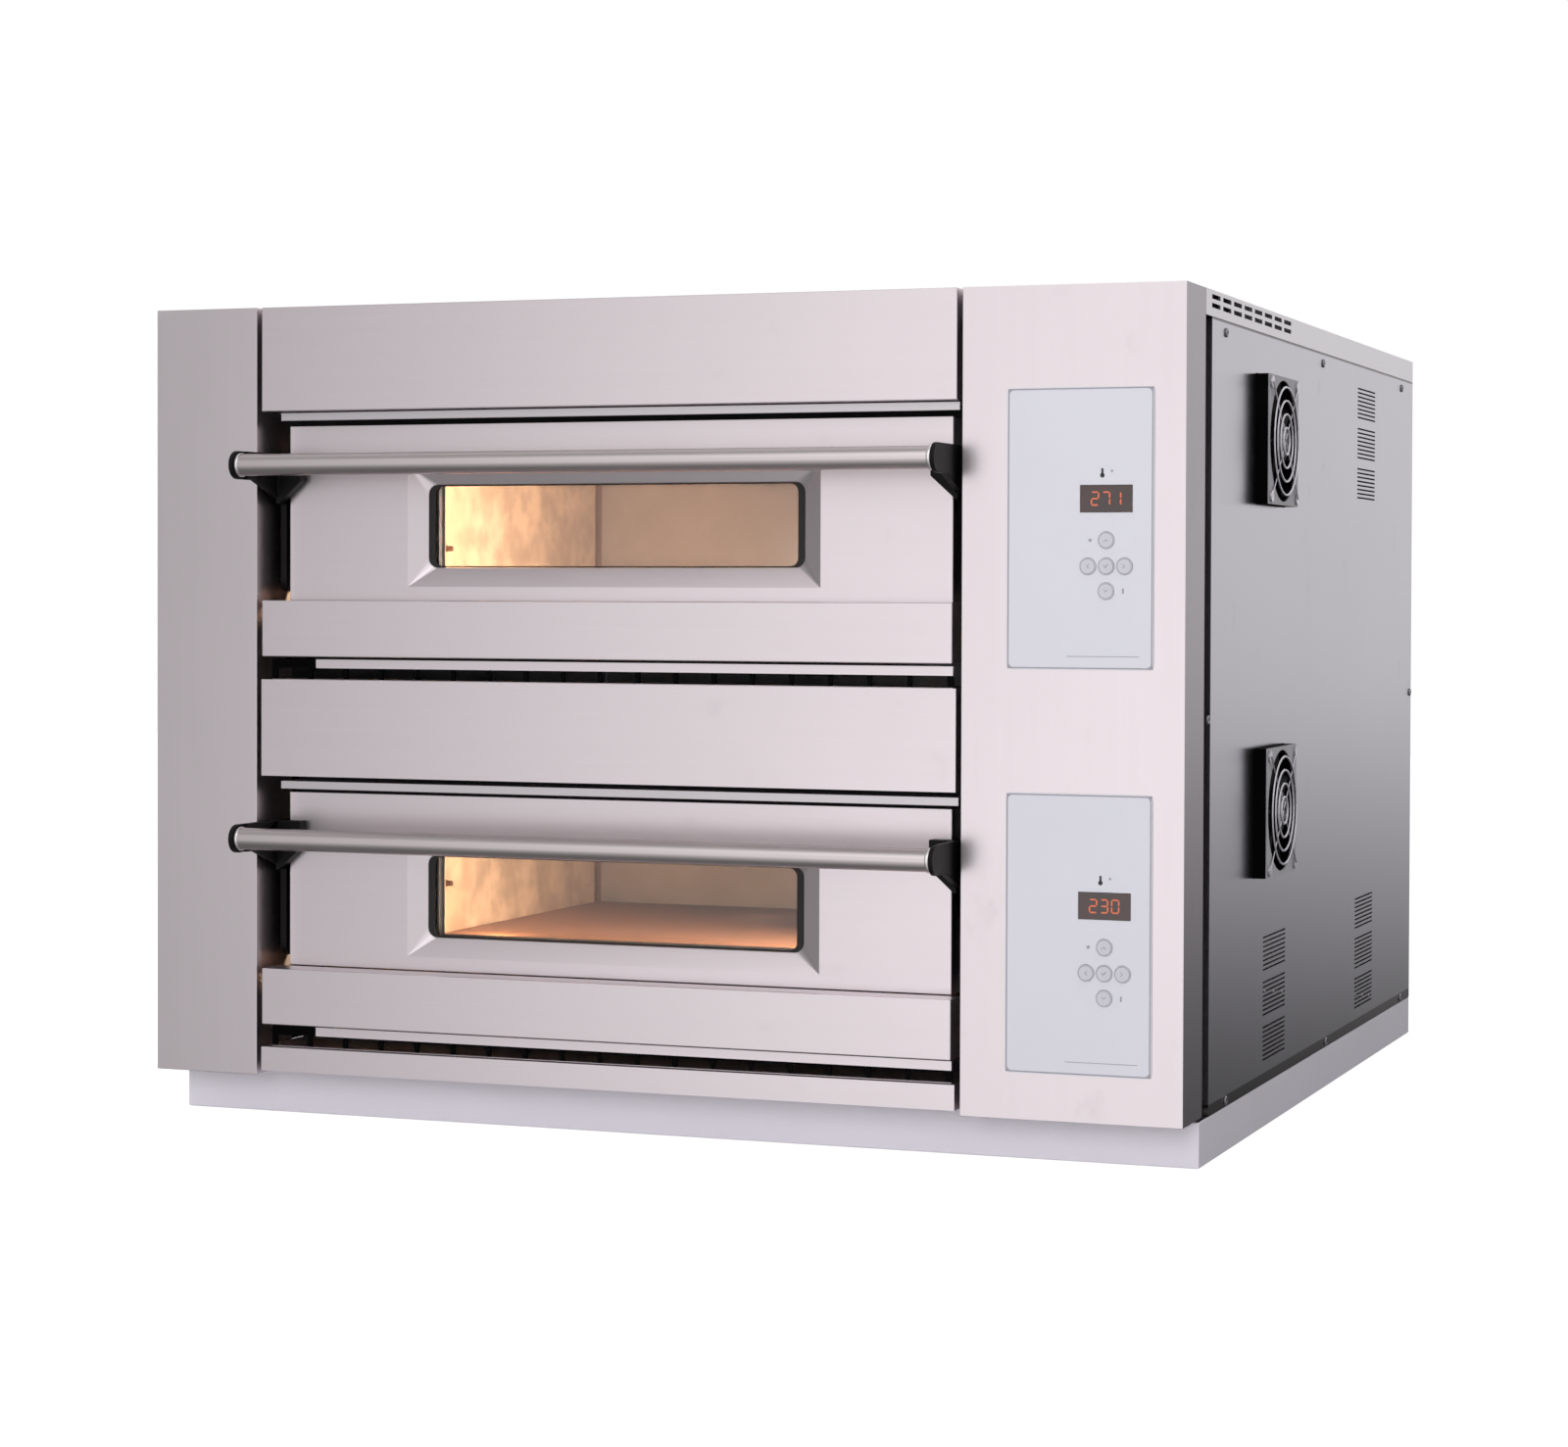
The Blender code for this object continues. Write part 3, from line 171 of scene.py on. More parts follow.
def studio_room():
    world = bpy.data.worlds.new("studio")
    world.use_nodes = True
    bpy.context.scene.world = world
    web = Web(world.node_tree)
    toward = web.node("ShaderNodeTexCoord", output="Generated")
    across = web.node("ShaderNodeSeparateXYZ", sockets={0: toward}, output="X")
    along = web.node("ShaderNodeSeparateXYZ", sockets={0: toward}, output="Y")
    up = web.node("ShaderNodeSeparateXYZ", sockets={0: toward}, output="Z")
    turn = web.node("ShaderNodeMath", {"operation": "ARCTAN2"}, {0: across, 1: 0 - along}) / math.tau + 0.5
    around = web.node("ShaderNodeValToRGB", {"stops": AROUND}, {0: turn})
    height = up * 0.5 + 0.5
    front = web.node("ShaderNodeValToRGB", {"stops": FRONT_HEIGHT}, {0: height})
    back = web.node("ShaderNodeValToRGB", {"stops": BACK_HEIGHT}, {0: height})
    behind = web.node("ShaderNodeMapRange", {"clamp": True}, {0: along, 1: -SIDE_MARGIN, 2: SIDE_MARGIN})
    mirrored = web.node("ShaderNodeMix", {"data_type": "RGBA", "blend_type": "MULTIPLY"},
                        {0: 1.0, 6: around, 7: web.mix(behind, front, back)}, 2)
    tinted = web.node("ShaderNodeMix", {"data_type": "RGBA", "blend_type": "MULTIPLY"},
                      {0: 1.0, 6: mirrored, 7: ROOM_TINT}, 2)
    matt = web.node("ShaderNodeLightPath", output="Is Diffuse Ray")
    seen = web.node("ShaderNodeLightPath", output="Is Camera Ray")
    light = web.mix(matt, tinted, (*[MATT_LIGHT / ROOM_POWER] * 3, 1))
    light = web.mix(seen, light, (*[1 / ROOM_POWER] * 3, 1))
    room = world.node_tree.nodes["Background"]
    room.inputs["Strength"].default_value = ROOM_POWER
    world.node_tree.links.new(light.socket, room.inputs["Color"])


def soft_lamp(name, spot, aim, size, power):
    """A broad lamp that lights matt surfaces and isn't mirrored in the steel."""
    lamp = bpy.data.lights.new(name, "AREA")
    lamp.shape = "DISK"
    lamp.size, lamp.energy = size, power
    holder = bpy.data.objects.new(name, lamp)
    bpy.context.scene.collection.objects.link(holder)
    holder.location = spot
    holder.rotation_euler = (Vector(aim) - Vector(spot)).to_track_quat("-Z", "Y").to_euler()
    holder.visible_glossy = False


def white_floor():
    """A sweep of white card under and behind the oven."""
    bpy.ops.mesh.primitive_plane_add(size=FLOOR_SIZE, location=(0, 0, -FLOOR_DROP))
    floor = bpy.context.object
    floor.name = "white_floor"
    floor.visible_glossy = False
    card = bpy.data.materials.new("white_card")
    card.use_nodes = True
    web = Web(card.node_tree)
    shader = card.node_tree.nodes["Principled BSDF"]
    shader.inputs["Base Color"].default_value = (0.75, 0.75, 0.76, 1)
    shader.inputs["Roughness"].default_value = 0.9
    grain = web.node("ShaderNodeTexNoise", None, {"Scale": 60.0, "Detail": 2.0})
    glow = FLOOR_GLOW + grain * 0.02
    seen = web.node("ShaderNodeLightPath", output="Is Camera Ray")
    lit = web.node("ShaderNodeCombineColor", None, {0: glow * seen, 1: glow * seen, 2: glow * seen})
    card.node_tree.links.new(lit.socket, shader.inputs["Emission Color"])
    shader.inputs["Emission Strength"].default_value = 1.0
    floor.data.materials.append(card)


studio_room()
soft_lamp("key_light", spot=(0.9, -4.6, 1.1), aim=(0, -0.1, 0.3), size=2.6, power=92.0)
soft_lamp("top_light", spot=(-0.4, -0.6, 3.2), aim=(0, 0, 0.4), size=2.4, power=22.0)
white_floor()

# ---- Columns and fascias ----
# The front is folded from satin stainless sheet, polished one way, with the polish along each piece.
# The sheets are tacked at the back, so nothing shows but their folded edges, each with a small radius.

POLISH_COLOUR = (0.820, 0.757, 0.780)
POLISH_ROUGHNESS = 0.31
POLISH_FINE, POLISH_LONG = 900.0, 9.0
# Painted shade: a darker copy of the steel for the columns' outer side faces.
RETURN_PAINTED_SHADE = (0.36, 0.335, 0.355)
FOLD_RADIUS = 0.0008
FOLD_ANGLE = math.radians(30)


class Finish(Web):
    """A material. What is the same all over is set on the shader, and what changes is fed to it."""

    def __init__(self, name, colour, roughness, steady=None):
        self.material = bpy.data.materials.new(name)
        self.material.use_nodes = True
        super().__init__(self.material.node_tree)
        self.shader = self.tree.nodes["Principled BSDF"]
        self.shader.inputs["Base Color"].default_value = (*colour, 1)
        self.shader.inputs["Roughness"].default_value = roughness
        for socket, value in (steady or {}).items():
            self.shader.inputs[socket].default_value = value

    def feed(self, socket, value):
        self.tree.links.new(value.socket, self.shader.inputs[socket])

    def spot(self, axis):
        """How far along X, Y or Z a point of the piece is."""
        where = self.node("ShaderNodeTexCoord", output="Object")
        return self.node("ShaderNodeSeparateXYZ", sockets={0: where}, output=axis)

    def noise(self, scale, stretch=(1, 1, 1), detail=2.0, roughness=0.5):
        where = self.node("ShaderNodeTexCoord", output="Object")
        if tuple(stretch) != (1, 1, 1):
            where = self.node("ShaderNodeMapping", None, {"Vector": where, "Scale": stretch})
        return self.node("ShaderNodeTexNoise", None, {"Vector": where, "Scale": scale, "Detail": detail,
                                                      "Roughness": roughness})

    def ramp(self, value, low, high):
        """0 below low and 1 above high, with a smooth rise."""
        smooth = {"interpolation_type": "SMOOTHSTEP"}
        return self.node("ShaderNodeMapRange", smooth, {0: value, 1: low, 2: high})

    def shades(self, share, colour, darker, lighter):
        """A colour that goes from one share of itself to another."""
        low = tuple(min(1.0, part * darker) for part in colour)
        high = tuple(min(1.0, part * lighter) for part in colour)
        return self.mix(share, (*low, 1), (*high, 1))

    def relief(self, height, depth, strength=1.0):
        self.feed("Normal", self.node("ShaderNodeBump", None, {"Height": height, "Distance": depth,
                                                               "Strength": strength}))


def dressed(material, colour, part):
    """Lays another colour over one part of a finish. part is given X, Y and Z and says how much covers."""
    web = Web(material.node_tree)
    shader = material.node_tree.nodes["Principled BSDF"]
    under = Value(web, shader.inputs["Base Color"].links[0].from_socket)
    where = web.node("ShaderNodeTexCoord", output="Object")
    share = part(*(web.node("ShaderNodeSeparateXYZ", sockets={0: where}, output=axis) for axis in "XYZ"))
    material.node_tree.links.new(web.mix(share, under, colour).socket, shader.inputs["Base Color"])
    return share


def polished(name, grain, colour=POLISH_COLOUR, roughness=POLISH_ROUGHNESS):
    """Stainless sheet rubbed along one axis: fine scratches, broader bands and a few handling marks."""
    finish = Finish(name, colour, roughness, {"Metallic": 1.0})
    along = "XYZ".index(grain)
    fine_stretch = [POLISH_FINE] * 3
    fine_stretch[along] = POLISH_LONG
    band_stretch = [POLISH_FINE / 8] * 3
    band_stretch[along] = POLISH_LONG / 9
    fine = finish.noise(1.0, fine_stretch, 3.0)
    bands = finish.noise(1.0, band_stretch, 2.0)
    clouds = finish.noise(4.5, detail=3.0)
    marks = finish.ramp(finish.noise(23.0, detail=4.0, roughness=0.65), 0.60, 0.80)
    share = fine * 0.45 + bands * 0.35 + clouds * 0.30 - marks * 0.10
    finish.feed("Base Color", finish.shades(share, colour, 0.955, 1.035))
    finish.feed("Roughness", roughness - 0.06 + fine * 0.06 + clouds * 0.05 + marks * 0.05)
    finish.relief(fine * 0.7 + bands * 0.3, 0.00003, 0.4)
    return finish.material


def lone(piece):
    """Makes this piece the only one that an operator acts on."""
    bpy.ops.object.select_all(action="DESELECT")
    piece.select_set(True)
    bpy.context.view_layer.objects.active = piece


def copy_of(node):
    """A copy of a CAD piece with its loose triangles joined into faces."""
    piece = bpy.data.objects.new(f"{node}_finished", frame["nodes"][node].data.copy())
    bpy.context.scene.collection.objects.link(piece)
    lone(piece)
    bpy.ops.object.mode_set(mode="EDIT")
    bpy.ops.mesh.select_all(action="SELECT")
    bpy.ops.mesh.remove_doubles(threshold=0.00001)
    bpy.ops.mesh.dissolve_limited(angle_limit=math.radians(0.6))
    bpy.ops.object.mode_set(mode="OBJECT")
    bpy.ops.object.shade_flat()
    return piece


def apply_all(piece):
    lone(piece)
    for modifier in list(piece.modifiers):
        bpy.ops.object.modifier_apply(modifier=modifier.name)


def round_edges(piece, radius, steps=2, angle=FOLD_ANGLE):
    bevel = piece.modifiers.new("round_edges", "BEVEL")
    bevel.width, bevel.segments = radius, steps
    bevel.limit_method, bevel.angle_limit = "ANGLE", angle
    bevel.use_clamp_overlap = True
    apply_all(piece)


def paint(piece, material):
    piece.data.materials.clear()
    piece.data.materials.append(material)


def body_of(node):
    return frame["nodes"][node]["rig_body"]


def folded(node, material, radius=FOLD_RADIUS):
    """The sheet piece with the small radius that a press leaves on its folds."""
    piece = copy_of(node)
    round_edges(piece, radius)
    paint(piece, material)
    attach(piece, body_of(node))
    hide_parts(node)
    return piece


def coat(node, material):
    """A CAD piece whose shape stays and whose finish is this material."""
    paint(frame["nodes"][node], material)


outer_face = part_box("right_front_column")[1].x
upright_steel = polished("upright_steel", "Z")
level_steel = polished("level_steel", "X")
# The outer side faces of both columns take a darker copy of the steel as painted shade.
return_steel_painted_shade = polished("return_steel_painted_shade", "Z", RETURN_PAINTED_SHADE, 0.30)
for column in ("left_front_column", "right_front_column"):
    post = folded(column, upright_steel)
    post.data.materials.append(return_steel_painted_shade)
    for face in post.data.polygons:
        if abs(face.center.x) > outer_face - FOLD_RADIUS:
            face.material_index = 1
folded("upper_fascia", level_steel)

# ---- Air strips ----
# Under each sill the fascia turns back into a slotted strip that lets cooling air in. The slots are punched
# close together and look into the dark; over their height the strip is laid with painted shade, and its left
# end with a painted shadow.

STRIP_HEIGHT = 0.019
SLOT_TOP_MARGIN = 0.0082
# Painted shade: near-black laid over the strip's slot band and its shadowed left end.
STRIP_PAINTED_SHADE = (0.004, 0.004, 0.004, 1)
SHADOW_END_LENGTH = 0.052
FIT = 0.0003


def strip_steel(name, strip_top):
    """The fascia's satin steel, with painted shade over the height of the strip's slots and a painted shadow
    at its left end.
    """

    # Painted shade over the slots' height and a painted shadow at the strip's left end.
    def painted_shade_share(across, along, up):
        in_strip = up > strip_top - STRIP_HEIGHT + FIT
        slot_shade = in_strip * (up < strip_top - SLOT_TOP_MARGIN)
        painted_shadow_end = in_strip * (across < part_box("upper_fascia")[0].x + SHADOW_END_LENGTH)
        return slot_shade.math("MAXIMUM", slot_shade, painted_shadow_end)

    material = polished(name, "X")
    dressed(material, STRIP_PAINTED_SHADE, painted_shade_share)
    return material


for node in ("middle_fascia", "bottom_rail"):
    coat(node, strip_steel(f"{node}_steel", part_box(node)[1].z))

# ---- Doors ----
# Each door is a steel tray with a bevelled window and a second tray behind it. Toughened glass sits in both,
# and a black silicone gasket shows round the outer pane, widest at its ends.

DECKS = ("lower", "upper")
GASKET_END, GASKET_EDGE, GASKET_CORNER = 0.0062, 0.0010, 0.0075
GASKET_COLOUR = (0.008, 0.007, 0.007)
WINDOW_HALF_WIDTH, WINDOW_RISE, WINDOW_HEIGHT = 0.187, 0.0310, 0.0765
GASKET_FRONT = 0.0022
GLASS_TINT = (0.97, 0.93, 0.89)


def block(name, low, high):
    """A cube primitive at its size and place."""
    low, high = Vector(low), Vector(high)
    bpy.ops.object.select_all(action="DESELECT")
    bpy.ops.mesh.primitive_cube_add(size=1, location=(low + high) / 2)
    piece = bpy.context.object
    piece.name = name
    piece.scale = high - low
    bpy.ops.object.transform_apply(location=True, rotation=True, scale=True)
    return piece


def select_faces(piece, wanted):
    """In edit mode, selects the faces whose centre and normal are wanted."""
    bpy.ops.mesh.select_mode(type="FACE")
    bpy.ops.mesh.select_all(action="DESELECT")
    bpy.ops.object.mode_set(mode="OBJECT")
    for face in piece.data.polygons:
        face.select = wanted(face.center, face.normal)
    bpy.ops.object.mode_set(mode="EDIT")


def select_edges(piece, wanted):
    """In edit mode, selects the edges whose two ends are wanted."""
    bpy.ops.mesh.select_mode(type="EDGE")
    bpy.ops.mesh.select_all(action="DESELECT")
    bpy.ops.object.mode_set(mode="OBJECT")
    points = piece.data.vertices
    for edge in piece.data.edges:
        edge.select = wanted(points[edge.vertices[0]].co, points[edge.vertices[1]].co)
    bpy.ops.object.mode_set(mode="EDIT")


def place(piece, body, material, slot):
    """A finished new piece: it rides on a body and is painted with the given material. The slot is not used.
    """
    paint(piece, material)
    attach(piece, body)
    return piece


def runs_along_y(first, second):
    return abs(first.y - second.y) > abs(first.x - second.x) + abs(first.z - second.z)


def flat_ring(name, low, high, edge, corner, narrower=0.0):
    """A thin frame that faces the front: a block whose two faces are inset and bridged through."""
    low, high = Vector(low), Vector(high)
    piece = block(name, low, high)
    lone(piece)
    bpy.ops.object.mode_set(mode="EDIT")
    select_faces(piece, lambda centre, normal: abs(normal.y) > 0.9)
    bpy.ops.mesh.inset(thickness=edge, use_even_offset=True)
    inner = (high.x - low.x) - 2 * edge
    bpy.ops.transform.resize(value=((inner - 2 * narrower) / inner, 1, 1))
    bpy.ops.mesh.bridge_edge_loops()

    def inside(point):
        across = low.x + edge / 2 < point.x < high.x - edge / 2
        return across and low.z + edge / 2 < point.z < high.z - edge / 2

    select_edges(piece, lambda a, b: runs_along_y(a, b) and inside(a))
    bpy.ops.mesh.bevel(offset=corner, segments=5)
    bpy.ops.object.mode_set(mode="OBJECT")
    return piece


def rubber():
    finish = Finish("gasket_rubber", GASKET_COLOUR, 0.55)
    bloom = finish.noise(260.0, detail=3.0)
    finish.feed("Base Color", finish.shades(bloom, GASKET_COLOUR, 0.6, 1.8))
    finish.feed("Roughness", 0.45 + bloom * 0.2)
    finish.relief(bloom, 0.0001, 0.4)
    return finish.material


def oven_glass(name, tint, haze):
    """Toughened glass with a little baked-on haze, thicker towards its edges."""
    finish = Finish(name, tint, 0.0, {"Transmission Weight": 1.0, "IOR": 1.45})
    film = finish.noise(14.0, detail=4.0)
    specks = finish.ramp(finish.noise(170.0, detail=2.0), 0.66, 0.78)
    finish.feed("Base Color", finish.shades(film * 0.8 + specks * 0.4, tint, 1.0, 1.0 - haze))
    finish.feed("Roughness", film * 0.006 + specks * 0.03)
    return finish.material


gasket_rubber = rubber()
outer_glass = oven_glass("outer_glass", GLASS_TINT, 0.10)
inner_glass = oven_glass("inner_glass", GLASS_TINT, 0.16)
door_steel = polished("door_steel", "X")
liner_tray_steel = polished("liner_tray_steel", "X", (0.48, 0.42, 0.37), 0.40)
for deck in DECKS:
    folded(f"{deck}_door_skin", door_steel)
    folded(f"{deck}_door_liner", liner_tray_steel)
    coat(f"{deck}_outer_glass", outer_glass)
    coat(f"{deck}_inner_glass", inner_glass)
    glass_low, glass_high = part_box(f"{deck}_outer_glass")
    pane = (glass_low + glass_high) / 2
    reach = WINDOW_HALF_WIDTH - FIT
    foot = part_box(f"{deck}_door_skin")[0].z + WINDOW_RISE
    gasket = flat_ring(f"{deck}_window_gasket", (pane.x - reach, glass_low.y - GASKET_FRONT, foot + FIT),
                       (pane.x + reach, glass_low.y - FIT, foot + WINDOW_HEIGHT - FIT),
                       GASKET_EDGE, GASKET_CORNER, GASKET_END - GASKET_EDGE)
    place(gasket, f"{deck}_door", gasket_rubber, "black_moulding")

# ---- Handles ----
# A brushed steel tube runs the width of each door between two black mouldings that cap its ends.
# A bright collar is pressed on the tube against each cap.

COLLAR_LENGTH, COLLAR_RISE = 0.0032, 0.0009
BAR_EDGE, BRACKET_EDGE, COLLAR_EDGE = 0.0003, 0.0009, 0.0004
BAR_COLOUR = (0.74, 0.68, 0.68)


def turned(name, centre, axis, radius, length, sides=48):
    """A round blank with its axis along X, Y or Z."""
    turn = {"X": (0, math.pi / 2, 0), "Y": (math.pi / 2, 0, 0), "Z": (0, 0, 0)}[axis]
    bpy.ops.object.select_all(action="DESELECT")
    bpy.ops.mesh.primitive_cylinder_add(vertices=sides, radius=radius, depth=length, location=centre,
                                        rotation=turn)
    piece = bpy.context.object
    piece.name = name
    bpy.ops.object.transform_apply(location=True, rotation=True, scale=True)
    return piece


def smooth(piece, angle=math.radians(35)):
    lone(piece)
    bpy.ops.object.shade_smooth_by_angle(angle=angle)


def moulded(name, colour, roughness, grain=900.0):
    """Black glass-filled plastic with the fine matt texture of its mould."""
    finish = Finish(name, colour, roughness, {"Specular IOR Level": 0.2})
    spark = finish.noise(grain, detail=2.0)
    worn = finish.ramp(finish.noise(30.0, detail=4.0), 0.55, 0.75)
    finish.feed("Base Color", finish.shades(spark * 0.5 + worn * 0.6, colour, 0.6, 1.9))
    finish.feed("Roughness", roughness - 0.05 + spark * 0.12 - worn * 0.08)
    finish.relief(spark, 0.00006, 0.5)
    return finish.material


bar_steel = polished("bar_steel", "X", BAR_COLOUR, 0.32)
collar_steel = polished("collar_steel", "Y", (0.90, 0.87, 0.87), 0.30)
bracket_black = moulded("bracket_black", (0.0035, 0.003, 0.0035), 0.46)
for deck in DECKS:
    bar = copy_of(f"{deck}_handle_bar")
    round_edges(bar, BAR_EDGE, 1, math.radians(60))
    smooth(bar)
    paint(bar, bar_steel)
    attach(bar, f"{deck}_door")
    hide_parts(f"{deck}_handle_bar")
    bar_low, bar_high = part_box(f"{deck}_handle_bar")
    centre = (bar_low + bar_high) / 2
    radius = (bar_high.z - bar_low.z) / 2
    for side, end, inward in (("left", bar_low.x, 1), ("right", bar_high.x, -1)):
        bracket = folded(f"{deck}_{side}_bracket", bracket_black, BRACKET_EDGE)
        # The bracket's sides are hooked, so they are split into triangles that stay inside them.
        lone(bracket)
        bpy.ops.object.mode_set(mode="EDIT")
        bpy.ops.mesh.select_all(action="SELECT")
        bpy.ops.mesh.quads_convert_to_tris()
        bpy.ops.object.mode_set(mode="OBJECT")
        middle = (end + inward * (COLLAR_LENGTH / 2 + FIT), centre.y, centre.z)
        collar = turned(f"{deck}_{side}_collar", middle, "X", radius + COLLAR_RISE, COLLAR_LENGTH)
        lone(collar)
        bpy.ops.object.mode_set(mode="EDIT")
        select_faces(collar, lambda spot, normal: abs(normal.x) > 0.9)
        bpy.ops.mesh.inset(thickness=COLLAR_RISE - FIT / 3)
        bpy.ops.mesh.bridge_edge_loops()
        bpy.ops.object.mode_set(mode="OBJECT")
        round_edges(collar, COLLAR_EDGE, 2)
        smooth(collar)
        place(collar, f"{deck}_door", collar_steel, "bar_steel")

# ---- Sills and door heads ----
# A folded shelf stands out below each door for the peel to rest on. Above each door a thin steel lip
# runs across, turned down from a flange that is tacked to the chamber's face.

HEAD_SETBACK, HEAD_LIP_HEIGHT, HEAD_SHEET = 0.0100, 0.0064, 0.0012
HEAD_LEFT, HEAD_RIGHT, HEAD_RISE, HEAD_DEPTH = -0.373, 0.2955, 0.1675, 0.030

sill_steel = polished("sill_steel", "X")
head_steel = polished("head_steel", "X", (0.72, 0.69, 0.71), 0.36)
for deck in DECKS:
    folded(f"{deck}_sill", sill_steel)
    sill_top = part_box(f"{deck}_sill")[1].z
    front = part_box("upper_fascia")[0].y + HEAD_SETBACK
    top = sill_top + HEAD_RISE + HEAD_LIP_HEIGHT + HEAD_SHEET
    head = block(f"{deck}_door_head", (HEAD_LEFT, front, top - HEAD_SHEET),
                 (HEAD_RIGHT, front + HEAD_DEPTH, top))
    lone(head)
    bpy.ops.object.mode_set(mode="EDIT")
    bpy.ops.mesh.select_all(action="SELECT")
    bpy.ops.mesh.bisect(plane_co=(0, front + HEAD_SHEET, 0), plane_no=(0, 1, 0))
    select_faces(head, lambda spot, normal: normal.z < -0.9 and spot.y < front + HEAD_SHEET)
    bpy.ops.mesh.extrude_region_move(TRANSFORM_OT_translate={"value": (0, 0, -HEAD_LIP_HEIGHT)})
    bpy.ops.object.mode_set(mode="OBJECT")
    round_edges(head, 0.0004)
    place(head, "oven_body", head_steel, "stainless")

# ---- Hinge plates ----
# A steel plate stands behind the inner wall of each column, laid near-black as painted shade for the dark
# slot beside each door. A riveted pin on it carries each door.

# Painted shade: the plates are near-black steel that stands for the dark slot beside each door.
hinge_steel = polished("hinge_steel", "Z", (0.012, 0.011, 0.011), 0.34)
for side in ("left", "right"):
    coat(f"{side}_hinge_plate", hinge_steel)

# ---- Baking chambers ----
# Each chamber is lined with heat-browned steel sheet, with painted shade on its back wall and a near-black
# painted shade on the flange round its mouth.
# A stone lies on its floor, a sheathed heater hangs under its roof, and its left wall has a lamp and a probe.

FLANGE_DEPTH, BACK_SHEET, SEAM_WIDTH, SEAM_DEPTH = 0.0025, 0.003, 0.004, 0.008
SOOT_BROWN, SEAM_BROWN, FLANGE_PAINTED_SHADE = (0.25, 0.17, 0.12, 1), (0.16, 0.08, 0.04, 1), (0.004, 0.004, 0.004, 1)
BACK_WALL_PAINTED_SHADE = (0.25, 0.255, 0.30)
LINER_COLOUR = (0.60, 0.50, 0.44)
STONE_COLOUR = (0.165, 0.085, 0.063)
SHEATH_COLOUR = (0.10, 0.085, 0.075)
LAMP_GLOW, WASH_GLOW, BACK_GLOW = (1.0, 0.63, 0.29), (1.0, 0.71, 0.44), (1.0, 0.80, 0.62)
LAMP_OFFSET, WASH_OFFSET, BACK_OFFSET = (0.055, 0.02, -0.018), (-0.03, 0.02, 0.050), (-0.395, 0.31, -0.005)
LAMP_POWER = {"lower": 0.44, "upper": 0.66}
WASH_POWER = {"lower": 3.5, "upper": 5.25}
BACK_POWER = {"lower": 0.03, "upper": 0.151875}
LAMP_SIZE, WASH_SIZE, WASH_SPREAD = 0.02, 0.06, math.radians(75)
PROBE_BACK, PROBE_RISE = 0.036, 0.016
PROBE_RADIUS, PROBE_LENGTH, PROBE_FOOT = 0.0028, 0.007, 1.9


def browned_and_shaded_steel():
    finish = Finish("browned_and_shaded_steel", LINER_COLOUR, 0.42, {"Metallic": 0.85})
    stain = finish.noise(7.0, detail=5.0, roughness=0.6)
    dapple = finish.ramp(finish.noise(34.0, detail=4.0, roughness=0.62), 0.36, 0.66)
    soot = finish.ramp(finish.noise(3.0, detail=4.0), 0.55, 0.85)
    heat_tint_and_shade = finish.shades(stain * 0.4 + dapple * 0.6, LINER_COLOUR, 0.80, 1.20)
    heat_tint_and_shade = finish.mix(soot * 0.25, heat_tint_and_shade, SOOT_BROWN)
    liner_low, liner_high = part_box("lower_chamber_liner")
    stone_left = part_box("lower_hearth_stone")[0].x
    # Painted shade: the back wall takes a darker, bluer grey than the side walls.
    back = finish.spot("Y") > liner_high.y - BACK_SHEET
    heat_tint_and_shade = finish.mix(back, heat_tint_and_shade, finish.shades(stain * 0.5 + dapple * 0.5, BACK_WALL_PAINTED_SHADE, 0.85, 1.15))
    corner = (finish.spot("X") < stone_left + SEAM_WIDTH) * (finish.spot("Y") > liner_high.y - SEAM_DEPTH)
    heat_tint_and_shade = finish.mix(corner * 0.75, heat_tint_and_shade, SEAM_BROWN)
    # Painted shade: the flange round the chamber's mouth is laid near-black and matt.
    shaded_mouth = finish.spot("Y") < liner_low.y + FLANGE_DEPTH
    finish.feed("Base Color", finish.mix(shaded_mouth, heat_tint_and_shade, FLANGE_PAINTED_SHADE))
    finish.feed("Metallic", 0.85 - shaded_mouth * 0.85)
    finish.feed("Roughness", 0.46 + dapple * 0.08 + shaded_mouth * 0.1)
    finish.relief(dapple, 0.00005, 0.4)
    return finish.material


def fired_stone():
    finish = Finish("fired_stone", STONE_COLOUR, 0.85)
    body = finish.noise(38.0, detail=6.0, roughness=0.65)
    grit = finish.node("ShaderNodeTexVoronoi", {"feature": "F1"},
                       {"Vector": finish.node("ShaderNodeTexCoord", output="Object"), "Scale": 420.0})
    baked = finish.ramp(finish.noise(5.0, detail=4.0), 0.50, 0.75)
    stone = finish.shades(body, STONE_COLOUR, 0.75, 1.25)
    stone = finish.mix(finish.ramp(grit, 0.16, 0.05) * 0.35, stone, (0.62, 0.52, 0.42, 1))
    finish.feed("Base Color", finish.mix(baked * 0.35, stone, (0.20, 0.12, 0.08, 1)))
    finish.feed("Roughness", 0.75 + body * 0.2)
    finish.relief(body * 0.6 + grit * 0.4, 0.0008, 0.6)
    return finish.material


def heater_sheath():
    finish = Finish("heater_sheath", SHEATH_COLOUR, 0.55, {"Metallic": 0.9})
    scale = finish.noise(120.0, detail=5.0, roughness=0.65)
    finish.feed("Base Color", finish.shades(scale, SHEATH_COLOUR, 0.6, 1.7))
    finish.feed("Roughness", 0.42 + scale * 0.25)
    finish.relief(scale, 0.0003, 0.5)
    return finish.material


def lit_lens():
    finish = Finish("lamp_lens_glass", (1.0, 0.93, 0.80), 0.25, {"Emission Strength": 1.1})
    ribs = finish.noise(240.0, detail=2.0)
    finish.feed("Emission Color", finish.mix(ribs, (*LAMP_GLOW, 1), (1.0, 0.86, 0.60, 1)))
    finish.feed("Roughness", 0.15 + ribs * 0.2)
    finish.relief(ribs, 0.0003, 0.5)
    return finish.material


